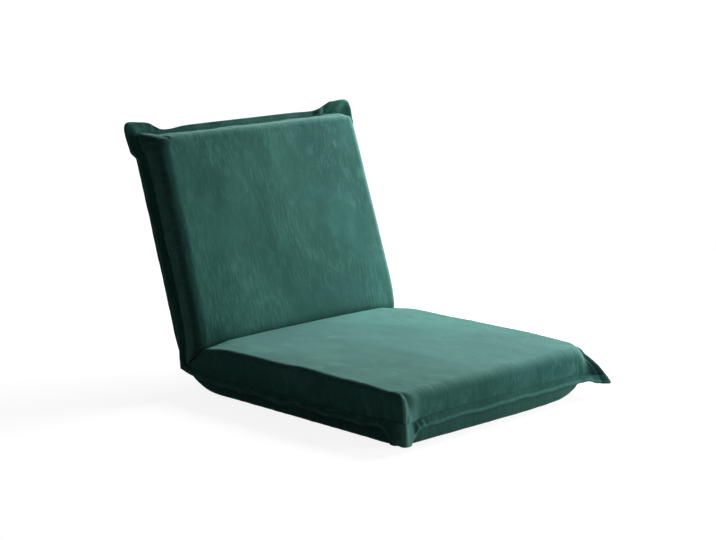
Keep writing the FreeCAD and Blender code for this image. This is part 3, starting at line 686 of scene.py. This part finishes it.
def flange_spread(half):
    """For each station of the seam: its root, the horizontal vector to the outer edge and the drop there."""
    x, row, turn = seam_stations(half)
    root_x, root_v, root_w = half.seam(x, row, turn)
    v_face = half.face(x, row)[0]
    distance = half.corner_distance(x, v_face, turn)
    ear = half.ear(x)
    edge = half.edge
    on_end = turn / QUARTER
    span = ear("side_span") + (ear("end_span") - ear("side_span")) * on_end
    linear = ear("linear") * on_end
    pointed = np.clip(1 - distance / span, 0.0, 1.0) ** 1.6
    shape = ease((span - distance) / (0.8 * span)) * (1 - linear) + pointed * linear
    fall_shape = np.clip(1 - distance / ear("fall_span"), 0.0, 1.0) ** 1.4
    lift_share = ease((distance - 10) / 50.0)
    base_x = edge["side_reach"]
    base_v = edge["end_reach"]
    reach_x = base_x + (ear("reach_x") - base_x) * shape
    reach_x = reach_x - ear("neck") * np.exp(-((distance - 22.0) / 14.0) ** 2) * (1 - on_end)
    reach_v = base_v + (ear("reach_v") - base_v) * shape
    reach_v = reach_v - ear("dip") * np.exp(-((distance - 52.0) / 30.0) ** 2) * on_end
    base_drop = edge["side_drop"] + (edge["end_drop"] - edge["side_drop"]) * ease(on_end)
    ear_drop = ear("side_drop") + (ear("end_drop") - ear("side_drop")) * ease(on_end)
    drop = base_drop + (ear_drop - base_drop) * fall_shape
    drop = drop - ear("tuck") * np.exp(-((distance - 24.0) / 14.0) ** 2) * on_end
    length = np.concatenate([[0.0], np.cumsum(np.hypot(np.diff(root_x), np.diff(root_v)))])
    wave = soft_waves(length, 0.0 * length, half.seed + 21, 45.0, 130.0)
    pleat = soft_waves(length, 0.0 * length, half.seed + 22, 11.0, 19.0)
    near = np.exp(-(np.maximum(distance - 18, 0.0) / 26.0) ** 2)
    fold_ease = ease((v_face - half.crease_bottom()[0]) / 150.0)
    reach_x = reach_x + 0.7 * wave * fold_ease - 7.5 * (1 - fold_ease)
    reach_v = reach_v + 0.2 * wave * fold_ease
    drop = drop + 1.2 * wave * (0.5 + 0.5 * lift_share) * fold_ease
    power = ear("square")
    side_in, end_in = squircle(turn, CORNER_POWER)
    side_out, end_out = squircle(turn, power)
    flare_x, flare_v = half.flare(x, distance, turn, np.ones(x.shape))
    run_x = half.side_run + flare_x
    run_v = sizes().end_run * METRE + flare_v
    sign = np.where(x < 0, -1.0, 1.0)
    vector_x = sign * ((run_x + reach_x) * side_out - run_x * side_in)
    vector_v = (run_v + reach_v) * end_out - run_v * end_in
    return {"x": x, "row": row, "turn": turn, "root": (root_x, root_v, root_w), "reach": (vector_x, vector_v),
            "drop": drop, "pleat": pleat * near * ear("pleat"), "length": length, "distance": distance,
            "from_fold": np.minimum(length, length[-1] - length)}


def flange_point(half, spread_data, share, side):
    """Point of the flange: share from the seam to the edge; side is the height over its middle sheet."""
    root_x, root_v, root_w = spread_data["root"]
    vector_x, vector_v = spread_data["reach"]
    normal_v, normal_w = flange_thickness_axis(half, root_v, spread_data["from_fold"])
    out = np.clip(share, 0.0, None)
    ripple = 1.3 * spread_data["pleat"] * np.sin(math.pi * np.clip(out, 0.0, 1.0) * 0.8)
    fall = spread_data["drop"] * (0.75 * out + 0.25 * out ** 2) - ripple
    height = side - fall
    inward = np.minimum(1.0, 12.0 / np.maximum(np.hypot(vector_x, vector_v), 1.0))
    run = share * np.where(share < 0, inward, 1.0)
    px = root_x + vector_x * run
    pv = root_v + vector_v * run + normal_v * height
    pw = root_w + normal_w * height
    return px, pv, pw


def flange(half, name, material):
    """Two layers of velvet sewn together: a closed strip whose section has a stitched groove near the seam
    and a fuller rolled hem, carried round the seam with the reach and drop of flange_spread."""
    data = flange_spread(half)
    thick = sizes().flange_half * METRE
    shares = np.array([-0.30, -0.1, 0.02, 0.08, 0.13, 0.17, 0.21, 0.26, 0.33, 0.45, 0.57, 0.69, 0.78, 0.85,
                       0.90, 0.935, 0.962, 0.984, 0.997])
    groove = 0.55 * np.exp(-((shares - GROOVE_AT) / 0.04) ** 2)
    hem = 0.45 * np.exp(-((shares - 0.88) / 0.09) ** 2)
    tip = np.sqrt(np.clip(1 - (np.clip(shares - 0.90, 0.0, None) / 0.10) ** 2, 0.0, 1.0))
    height = thick * (1 - groove + hem) * tip
    section_s = np.concatenate([shares, shares[::-1]])
    section_h = np.concatenate([height, -height[::-1]])
    count = data["x"].size
    px, pv, pw = flange_point(
        half, {key: (tuple(a[:, None] for a in val) if isinstance(val, tuple) else val[:, None])
               for key, val in data.items()}, section_s[None, :], section_h[None, :])
    points = half.place(px, pv, pw).reshape(-1, 3)
    wide = section_s.size
    faces = grid_faces(count, wide, close=True)
    fall = 0.6 * data["drop"][:, None] * section_s[None, :] + 2.0 * section_h[None, :]
    uv = np.stack([px.reshape(-1), (pv + fall).reshape(-1)], axis=-1)[faces] / METRE
    caps = [list(range(wide))[::-1], [(count - 1) * wide + k for k in range(wide)]]
    ear = half.ear(data["x"])
    on_end = data["turn"] / QUARTER
    # Painted highlight on the flange round a corner.
    light = ear("corner_painted_highlight") * np.exp(-(data["distance"] / 14.0) ** 2) * ease(on_end * 1.6)
    # Painted shade on the flange along the side near a corner.
    shade = ear("corner_painted_shade") * np.exp(-(data["distance"] / 35.0) ** 2) * (1 - on_end)
    # Lighter along the hem: rubbed wear and painted highlight.
    rubbed_and_highlight = np.exp(-((section_s - 0.93) / 0.08) ** 2)[None, :] + light[:, None]
    # Painted shade in the stitched groove and along the root under the wall, less under the painted highlight.
    stitched = np.exp(-((section_s - GROOVE_AT) / 0.05) ** 2) + (section_s < 0.05) * 1.0
    seam = stitched[None, :] / (1 + light[:, None]) + shade[:, None]
    piece = make_piece(name, points, faces, uv, {"rubbed_and_highlight": rubbed_and_highlight, "seam": seam}, material, caps)
    return piece, data


def topstitch(half, name, data, material):
    """Stitches along the groove of the flange, above and below: each is a short six-sided bead that dips into
    the cloth at both ends, carried along the seam's stations."""
    length = data["length"]
    pitch = sizes().stitch * METRE
    count = int((length[-1] - 8.0) / pitch)
    starts = 4.0 + pitch * np.arange(count)
    rings = np.array([0.0, 0.12, 0.5, 0.88, 1.0])
    radii = np.array([0.12, 0.36, 0.42, 0.36, 0.12])
    sink = np.array([0.55, 0.12, 0.0, 0.12, 0.55])
    where = starts[:, None] + rings[None, :] * pitch * 0.8

    def at(values):
        return np.interp(where, length, values)

    local = {"root": tuple(at(a) for a in data["root"]), "reach": tuple(at(a) for a in data["reach"]),
             "drop": at(data["drop"]), "pleat": at(data["pleat"]), "from_fold": at(data["from_fold"])}
    height = sizes().flange_half * METRE * 0.45 - sink[None, :]
    points, faces = [], []
    offset = 0
    for side in (1.0, -1.0):
        centre = np.stack(flange_point(half, local, GROOVE_AT, side * height), axis=-1)
        up = np.stack(flange_point(half, local, GROOVE_AT, side * (height + 1.0)), axis=-1) - centre
        across = np.stack(flange_point(half, local, GROOVE_AT + 0.05, side * height), axis=-1) - centre
        up = up / np.linalg.norm(up, axis=-1, keepdims=True)
        across = across / np.linalg.norm(across, axis=-1, keepdims=True)
        angles = np.arange(6) * math.pi / 3
        ring = (across[..., None, :] * np.cos(angles)[:, None] + up[..., None, :] * np.sin(angles)[:, None])
        ring = centre[..., None, :] + ring * radii[None, :, None, None]
        block = ring.reshape(count, -1, 3)
        one = grid_faces(rings.size, 6, close=True, flip=side < 0)
        cells = one[None] + (np.arange(count) * rings.size * 6)[:, None, None] + offset
        faces.append(cells.reshape(-1, 4))
        points.append(block.reshape(-1, 3))
        offset += block.shape[0] * block.shape[1]
    points = np.concatenate(points)
    place = half.place(points[:, 0], points[:, 1], points[:, 2])
    piece = make_piece(name, place, np.concatenate(faces), None, None, material)
    return piece


# Materials

class Nodes:
    """Short way to build a node tree: nodes by type, sockets by name. An output is a pair of node and
    socket."""

    def __init__(self, owner):
        owner.use_nodes = True
        self.tree = owner.node_tree
        self.tree.nodes.clear()

    def node(self, kind, values=None, **settings):
        item = self.tree.nodes.new("ShaderNode" + kind)
        for key, value in settings.items():
            setattr(item, key, value)
        for key, value in (values or {}).items():
            item.inputs[key].default_value = value
        return item

    def feed(self, item, into, value):
        """Joins an input to an output, or sets it to a number or a colour."""
        if isinstance(value, tuple) and hasattr(value[0], "outputs"):
            self.tree.links.new(value[0].outputs[value[1]], item.inputs[into])
        elif isinstance(value, (int, float)):
            item.inputs[into].default_value = value
        else:
            item.inputs[into].default_value = (*tuple(value)[:3], 1.0)

    def math(self, operation, a, b, clamp=False):
        item = self.node("Math", operation=operation, use_clamp=clamp)
        self.feed(item, 0, a)
        self.feed(item, 1, b)
        return item, 0

    def seen_rays(self):
        """1 for rays that show something, straight on, mirrored or through glass, 0 for those that light it."""
        path = self.node("LightPath")
        seen = self.math("MAXIMUM", (path, "Is Camera Ray"), (path, "Is Glossy Ray"))
        return self.math("MAXIMUM", seen, (path, "Is Transmission Ray"))

    def choose(self, share, low, high):
        """Mix of two shader nodes."""
        item = self.node("MixShader")
        for slot, value in enumerate((share, (low, 0), (high, 0))):
            self.feed(item, slot, value)
        return item, 0


class Shader(Nodes):
    """Node tree of a material, with its output and its main surface."""

    def __init__(self, name):
        self.material = bpy.data.materials.new(name)
        super().__init__(self.material)
        self.output = self.node("OutputMaterial")
        self.surface = self.node("BsdfPrincipled")
        self.feed(self.output, "Surface", (self.surface, "BSDF"))

    def set(self, **values):
        for key, value in values.items():
            self.surface.inputs[key.replace("_", " ")].default_value = value

    def own_axes(self):
        """The object's own coordinates."""
        return self.node("TexCoord"), "Object"

    def noise(self, source, factor, detail=2.0, rough=0.5, distortion=0.0):
        """Noise on coordinates stretched by one factor, or by one for each axis."""
        factors = factor if isinstance(factor, tuple) else (factor,) * 3
        place = self.node("Mapping", {"Scale": factors}, vector_type="POINT")
        self.feed(place, "Vector", source)
        item = self.node("TexNoise", {"Scale": 1.0, "Detail": detail, "Roughness": rough,
                                      "Distortion": distortion})
        self.feed(item, "Vector", (place, "Vector"))
        return item, 0

    def ramp(self, source, low, high, to_low=0.0, to_high=1.0):
        item = self.node("MapRange", {"From Min": low, "From Max": high, "To Min": to_low, "To Max": to_high},
                         interpolation_type="SMOOTHSTEP")
        self.feed(item, "Value", source)
        return item, 0

    def mix(self, share, a, b):
        """Colour mix; a and b are colours or outputs."""
        item = self.node("Mix", data_type="RGBA")
        for slot, value in ((0, share), (6, a), (7, b)):
            self.feed(item, slot, value)
        return item, 2

    def bump(self, source, distance, strength=1.0, before=None):
        item = self.node("Bump", {"Strength": strength, "Distance": distance})
        self.feed(item, "Height", source)
        if before is not None:
            self.feed(item, "Normal", before)
        return item, 0

    def finish(self, colour=None, rough=None, normal=None):
        for key, source in (("Base Color", colour), ("Roughness", rough), ("Normal", normal)):
            if source is not None:
                self.feed(self.surface, key, source)
        return self.material


def velvet_material(name, light=1.0):
    """Fine-ribbed velvet: ribs along the cloth's v, pile brushed in streaks, painted shade in the seams, the
    crease and the shaded corners, and lighter edges with rubbed wear and painted highlight. The light factor
    makes darker copies that stand for shade."""
    look = finish()
    s = Shader(name)
    uv = (s.node("UVMap", uv_map="cloth"), 0)
    base = [c * light for c in look.velvet]
    dark = [c * light for c in look.velvet_dark]
    pale = [c * light for c in look.velvet_light]
    wobble = s.noise(uv, (60.0, 8.0, 1.0), 2.0)
    split = s.node("SeparateXYZ")
    s.feed(split, "Vector", uv)
    shift = s.math("MULTIPLY", wobble, look.rib_pitch * 0.9)
    across = s.math("ADD", (split, 0), shift)
    phase = s.math("MULTIPLY", across, 2 * math.pi / look.rib_pitch)
    rib = s.math("SINE", phase, 0.0)
    rib_height = s.ramp(rib, -1.0, 0.7)
    broken = s.noise(uv, (900.0, 60.0, 1.0), 2.0, 0.6)
    pile = s.noise(uv, (2600.0, 1500.0, 1.0), 2.0, 0.7)
    patch = s.noise(uv, (8.0, 7.0, 1.0), 2.0, 0.5, 0.4)
    strokes = s.noise(uv, (250.0, 34.0, 1.0), 3.0, 0.62, 0.2)
    blotch = s.noise(uv, (30.0, 24.0, 1.0), 3.0, 0.6, 0.5)
    cloud = s.noise(uv, (7.0, 4.0, 1.0), 2.0, 0.5, 0.3)
    colour = s.mix(s.ramp(cloud, 0.32, 0.68), dark, base)
    colour = s.mix(s.ramp(blotch, 0.50, 0.74, 0.0, 0.34), colour, pale)
    colour = s.mix(s.ramp(blotch, 0.50, 0.26, 0.0, 0.44), colour, dark)
    strong = s.ramp(patch, 0.38, 0.66, 0.25, 1.0)
    colour = s.mix(s.math("MULTIPLY", s.ramp(strokes, 0.50, 0.66, 0.0, 0.55), strong), colour, pale)
    colour = s.mix(s.math("MULTIPLY", s.ramp(strokes, 0.50, 0.34, 0.0, 0.80), strong), colour, dark)
    colour = s.mix(s.ramp(rib_height, 0.5, 0.0, 0.0, 0.16), colour, dark)
    # Towards the pale colour along rubbed edges: rubbed wear and painted highlight, and the corner's painted
    # highlight.
    rubbed_and_highlight = (s.node("Attribute", attribute_name="rubbed_and_highlight"), "Fac")
    wear_and_highlight = s.math("MULTIPLY", rubbed_and_highlight, s.ramp(strokes, 0.30, 0.70, 0.45, 0.9), clamp=True)
    colour = s.mix(wear_and_highlight, colour, pale)
    # Painted highlight: only the corner's painted highlight lifts the value past 1, towards the gleaming
    # colour.
    colour = s.mix(s.ramp(rubbed_and_highlight, 1.0, 2.2, 0.0, 0.85), colour, [c * light for c in look.velvet_painted_highlight])
    # Painted shade: the seam value darkens towards a third and then a tenth of the crushed colour.
    seam = (s.node("Attribute", attribute_name="seam"), "Fac")
    colour = s.mix(s.ramp(seam, 0.1, 1.0, 0.0, 0.6), colour, [0.35 * c for c in dark])
    colour = s.mix(s.ramp(seam, 1.0, 2.0, 0.0, 0.7), colour, [0.1 * c for c in dark])
    rough = s.ramp(pile, 0.2, 0.8, 0.82, 1.0)
    height = s.bump(rib_height, 0.0004, 0.3)
    height = s.bump(broken, 0.0006, 0.35, height)
    height = s.bump(pile, 0.0004, 0.5, height)
    height = s.bump(blotch, 0.0012, 0.3, height)
    s.set(Sheen_Weight=look.sheen, Sheen_Roughness=0.42, Sheen_Tint=(0.50, 0.95, 0.90, 1.0))
    s.set(IOR=1.35)
    s.surface.inputs["Specular IOR Level"].default_value = 0.15
    return s.finish(colour, rough, height)


def thread_material():
    """Polyester sewing thread, a little lighter and glossier than the pile."""
    s = Shader("sewing_thread")
    place = s.own_axes()
    fibre = s.noise(place, 3000.0, 2.0, 0.6)
    look = finish()
    colour = s.mix(s.ramp(fibre, 0.3, 0.7), [0.8 * c for c in look.velvet], look.velvet_light)
    s.set(Sheen_Weight=0.2)
    return s.finish(colour, s.ramp(fibre, 0.3, 0.7, 0.5, 0.75), s.bump(fibre, 0.0002, 0.5))


def woven_material(name, warp, weft, pitch, rough=0.85):
    """Plain or twill weave from two crossed waves on the object's own axes."""
    s = Shader(name)
    place = s.own_axes()
    split = s.node("SeparateXYZ")
    s.feed(split, "Vector", place)
    step = 2 * math.pi / pitch
    warp_wave = s.math("SINE", s.math("MULTIPLY", (split, 0), step), 0.0)
    length = s.math("ADD", (split, 1), (split, 2))
    weft_wave = s.math("SINE", s.math("MULTIPLY", length, step), 0.0)
    weave = s.math("MULTIPLY", warp_wave, weft_wave)
    fuzz = s.noise(place, 1400.0, 3.0, 0.7)
    stain = s.noise(place, 30.0, 2.0)
    colour = s.mix(s.ramp(weave, -0.7, 0.7), warp, weft)
    colour = s.mix(s.ramp(stain, 0.35, 0.75, 0.0, 0.3), colour, [0.6 * c for c in warp])
    normal = s.bump(fuzz, 0.0001, 0.4, s.bump(weave, 0.0003, 0.7))
    s.set(Sheen_Weight=0.15)
    return s.finish(colour, s.ramp(fuzz, 0.2, 0.8, rough - 0.1, rough), normal)


def metal_material(name, colour, rough, brushed=(400.0, 40.0, 40.0), metallic=1.0, wear=0.25):
    """Steel: brushed grain along one axis, blotches of dulled plating and small scratches."""
    s = Shader(name)
    place = s.own_axes()
    grain = s.noise(place, brushed, 4.0, 0.6)
    blotch = s.noise(place, 45.0, 3.0, 0.6)
    scratch = s.noise(place, (900.0, 60.0, 300.0), 1.0, 0.4)
    tone = s.mix(s.ramp(blotch, 0.35, 0.7, 0.0, wear), colour, [0.45 * c for c in colour])
    tone = s.mix(s.ramp(scratch, 0.66, 0.74, 0.0, 0.3), tone, [min(1.0, 1.5 * c + 0.05) for c in colour])
    s.set(Metallic=metallic)
    return s.finish(tone, s.ramp(grain, 0.25, 0.75, rough - 0.08, rough + 0.12), s.bump(grain, 0.0001, 0.3))


def paint_material():
    """Powder coat on the tubes: fine orange peel, a little dust and rubbed spots."""
    s = Shader("tube_powder_coat")
    place = s.own_axes()
    peel = s.noise(place, 900.0, 2.0, 0.5)
    dust = s.noise(place, 20.0, 4.0, 0.6)
    colour = s.mix(s.ramp(dust, 0.45, 0.75, 0.0, 0.4), finish().paint, (0.09, 0.09, 0.085))
    s.set(Coat_Weight=0.15)
    return s.finish(colour, s.ramp(dust, 0.3, 0.7, 0.32, 0.5), s.bump(peel, 0.0002, 0.35))


def nylon_material(name, colour, rough):
    """Moulded or drawn nylon: slight mottling and fine flow lines."""
    s = Shader(name)
    place = s.own_axes()
    flow = s.noise(place, (700.0, 90.0, 90.0), 2.0, 0.5)
    mottle = s.noise(place, 60.0, 2.0)
    tone = s.mix(s.ramp(mottle, 0.3, 0.7, 0.0, 0.35), colour, [0.7 * c for c in colour])
    return s.finish(tone, s.ramp(flow, 0.3, 0.7, rough - 0.06, rough + 0.08), s.bump(flow, 0.0001, 0.3))


# Operators

class FLOORCHAIR_OT_stage(bpy.types.Operator):
    """Makes the camera, the pale floor, the soft lamps and the white surroundings"""
    bl_idname = "floor_chair.stage"
    bl_label = "Stage"

    def execute(self, context):
        scene = context.scene
        look = scene.floor_chair_stage
        scene.view_settings.view_transform = "Standard"
        data = bpy.data.cameras.new("camera")
        data.lens = look.lens
        data.sensor_width = 36.0
        camera = bpy.data.objects.new("camera", data)
        scene.collection.objects.link(camera)
        a, e = look.azimuth, look.elevation
        back = Vector((math.sin(a) * math.cos(e), -math.cos(a) * math.cos(e), math.sin(e)))
        camera.location = look.camera_place
        camera.rotation_mode = "QUATERNION"
        camera.rotation_quaternion = (-back).to_track_quat("-Z", "Y")
        scene.camera = camera
        self.lamp(scene, "key_lamp", (1.12, 0.27, 0.85), (0.0, 0.05, 0.15), look.key, 0.9, (1.0, 0.99, 0.97))
        self.lamp(scene, "front_lamp", (0.75, -1.0, 0.32), (0.0, 0.0, 0.12), look.key * 0.26, 0.8,
                  (0.97, 0.985, 1.0))
        self.floor(look)
        self.world(scene, look)
        return {"FINISHED"}

    def lamp(self, scene, name, place, target, power, size, tint):
        data = bpy.data.lights.new(name, "AREA")
        data.shape = "DISK"
        data.size = size
        data.energy = power
        data.color = tint
        lamp = bpy.data.objects.new(name, data)
        scene.collection.objects.link(lamp)
        lamp.location = place
        lamp.rotation_mode = "QUATERNION"
        lamp.rotation_quaternion = (Vector(target) - Vector(place)).to_track_quat("-Z", "Y")

    def floor(self, look):
        """Large pale sheet just under the chair; rays that see it straight on find it close to white."""
        reach = 30.0
        signs = np.array([[-1, -1, 0], [1, -1, 0], [1, 1, 0], [-1, 1, 0]], float)
        corners = reach * signs
        corners[:, 2] = -0.0004
        s = Shader("floor_paper")
        place = s.own_axes()
        grain = s.noise(place, 220.0, 3.0, 0.6)
        tone = s.mix(s.ramp(grain, 0.3, 0.7, 0.0, 0.04), look.floor, [0.9 * c for c in look.floor])
        material = s.finish(tone, s.ramp(grain, 0.3, 0.7, 0.85, 0.95))
        far = s.node("VectorMath", operation="LENGTH")
        s.feed(far, 0, place)
        glow = s.node("Emission", {"Color": (1.0, 1.0, 1.0, 1.0)})
        s.feed(glow, "Strength", s.ramp((far, "Value"), 0.8, 2.6, 0.87, 1.0))
        blank = s.node("Emission", {"Color": (0.0, 0.0, 0.0, 1.0), "Strength": 0.0})
        add = s.node("AddShader")
        s.feed(add, 0, (s.surface, "BSDF"))
        s.feed(add, 1, s.choose(s.seen_rays(), blank, glow))
        s.feed(s.output, "Surface", (add, 0))
        piece = make_piece("floor", corners, np.array([[0, 1, 2, 3]]), None, None, material)

    def world(self, scene, look):
        """White where it is seen, and a dim even light on everything else."""
        scene.world = bpy.data.worlds.new("surroundings")
        s = Nodes(scene.world)
        even = s.node("Background", {"Strength": look.fill, "Color": (0.97, 0.985, 1.0, 1.0)})
        white = s.node("Background", {"Color": (1.0, 1.0, 1.0, 1.0)})
        s.feed(s.node("OutputWorld"), "Surface", s.choose(s.seen_rays(), even, white))


class FLOORCHAIR_OT_upper_covers(bpy.types.Operator):
    """Makes the boxed velvet covers of the seat and the back, which meet in the crease"""
    bl_idname = "floor_chair.upper_covers"
    bl_label = "Boxed covers"

    def execute(self, context):
        seat, back = make_halves()
        velvet = velvet_material("velvet_upper")
        top = upper_cover(seat, "seat_boxed_cover", velvet)
        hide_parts("seat_cover_top", "seat_crease_roll", "seat_foam_top")
        front = upper_cover(back, "back_boxed_cover", velvet)
        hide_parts("back_cover_front", "back_crease_roll", "back_foam_front")
        for piece in (top, front):
            ride_both(piece)
        return {"FINISHED"}


class FLOORCHAIR_OT_lower_covers(bpy.types.Operator):
    """Makes the shallow lower covers, which run into each other round the outside of the fold"""
    bl_idname = "floor_chair.lower_covers"
    bl_label = "Lower covers"

    def execute(self, context):
        seat, back = make_halves()
        # The lower covers take a copy of the velvet darkened to 0.66: painted shade.
        velvet = velvet_material("velvet_lower_shaded", 0.66)
        base = under_cover(seat, "seat_lower_cover", velvet)
        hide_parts("seat_cover_base", "seat_foam_base", "fold_gusset")
        rear = under_cover(back, "back_rear_cover", velvet, zip_gap=True)
        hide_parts("back_cover_rear", "back_foam_rear")
        for piece in (base, rear):
            ride_both(piece)
        return {"FINISHED"}


class FLOORCHAIR_OT_flanges(bpy.types.Operator):
    """Makes the sewn flanges with their ears, and the stitches along them"""
    bl_idname = "floor_chair.flanges"
    bl_label = "Flanges and stitches"

    def execute(self, context):
        seat, back = make_halves()
        thread = thread_material()
        # The back's flange takes a copy of the velvet darkened to 0.78: painted shade.
        for half, node, light in ((seat, "seat_flange", 1.0), (back, "back_flange", 0.78)):
            velvet = velvet_material("velvet_flange_" + half.name, light)
            strip, data = flange(half, half.name + "_sewn_flange", velvet)
            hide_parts(node)
            ride_both(strip)
            stitches = topstitch(half, half.name + "_flange_stitches", data, thread)
            ride_both(stitches)
        return {"FINISHED"}


class FLOORCHAIR_OT_finishes(bpy.types.Operator):
    """Gives the frame, hinges, webbing and zip their finishes"""
    bl_idname = "floor_chair.finishes"
    bl_label = "Frame, hinge and zip finishes"

    def execute(self, context):
        steel = metal_material("zinc_plated_steel", list(finish().steel), 0.38)
        by_slot = {
            "tube_paint": paint_material(),
            "hinge_steel": steel,
            "spring_steel": metal_material("blued_spring_steel", [0.42, 0.43, 0.45], 0.3, wear=0.4),
            "washer_nylon": nylon_material("washer_nylon", [0.85, 0.85, 0.82], 0.5),
            "webbing": woven_material("elastic_webbing", [0.05, 0.05, 0.05], [0.025, 0.025, 0.027], 0.0016),
            "zip_tape": woven_material("zip_tape_twill", [0.018, 0.075, 0.062], [0.012, 0.05, 0.042], 0.0009),
            "zip_nylon": nylon_material("zip_coil_nylon", [0.014, 0.06, 0.052], 0.4),
            "zip_metal": metal_material("zip_gunmetal", [0.20, 0.20, 0.21], 0.35, wear=0.3)}
        for subpart in frame["record"]["subparts"]:
            node = frame["nodes"][subpart["node"]]
            material = by_slot.get(subpart["material_slot"])
            if material is None:
                continue
            node.data.materials.clear()
            node.data.materials.append(material)
        return {"FINISHED"}


class FLOORCHAIR_PT_panel(bpy.types.Panel):
    """Lists the steps that dress the chair, and its sizes and finishes"""
    bl_idname = "FLOORCHAIR_PT_panel"
    bl_label = "Folding floor chair"
    bl_space_type = "VIEW_3D"
    bl_region_type = "UI"
    bl_category = "Floor chair"

    def draw(self, context):
        column = self.layout.column()
        for step in STEPS:
            column.operator(step.bl_idname)
        for group in ("floor_chair_sizes", "floor_chair_finish", "floor_chair_stage"):
            settings = getattr(context.scene, group)
            for key in settings.bl_rna.properties.keys():
                if key not in ("rna_type", "name"):
                    column.prop(settings, key)


STEPS = (FLOORCHAIR_OT_stage, FLOORCHAIR_OT_upper_covers, FLOORCHAIR_OT_lower_covers, FLOORCHAIR_OT_flanges,
         FLOORCHAIR_OT_finishes)
CLASSES = (FloorChairSizes, FloorChairFinish, FloorChairStage) + STEPS + (FLOORCHAIR_PT_panel,)


def register():
    for item in CLASSES:
        bpy.utils.register_class(item)
    bpy.types.Scene.floor_chair_sizes = bpy.props.PointerProperty(type=FloorChairSizes)
    bpy.types.Scene.floor_chair_finish = bpy.props.PointerProperty(type=FloorChairFinish)
    bpy.types.Scene.floor_chair_stage = bpy.props.PointerProperty(type=FloorChairStage)


def unregister():
    for key in ("floor_chair_sizes", "floor_chair_finish", "floor_chair_stage"):
        delattr(bpy.types.Scene, key)
    for item in reversed(CLASSES):
        bpy.utils.unregister_class(item)


def main():
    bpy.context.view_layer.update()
    register()
    bpy.ops.floor_chair.stage()
    bpy.ops.floor_chair.upper_covers()
    bpy.ops.floor_chair.lower_covers()
    bpy.ops.floor_chair.flanges()
    bpy.ops.floor_chair.finishes()


if __name__ == "__main__":
    main()
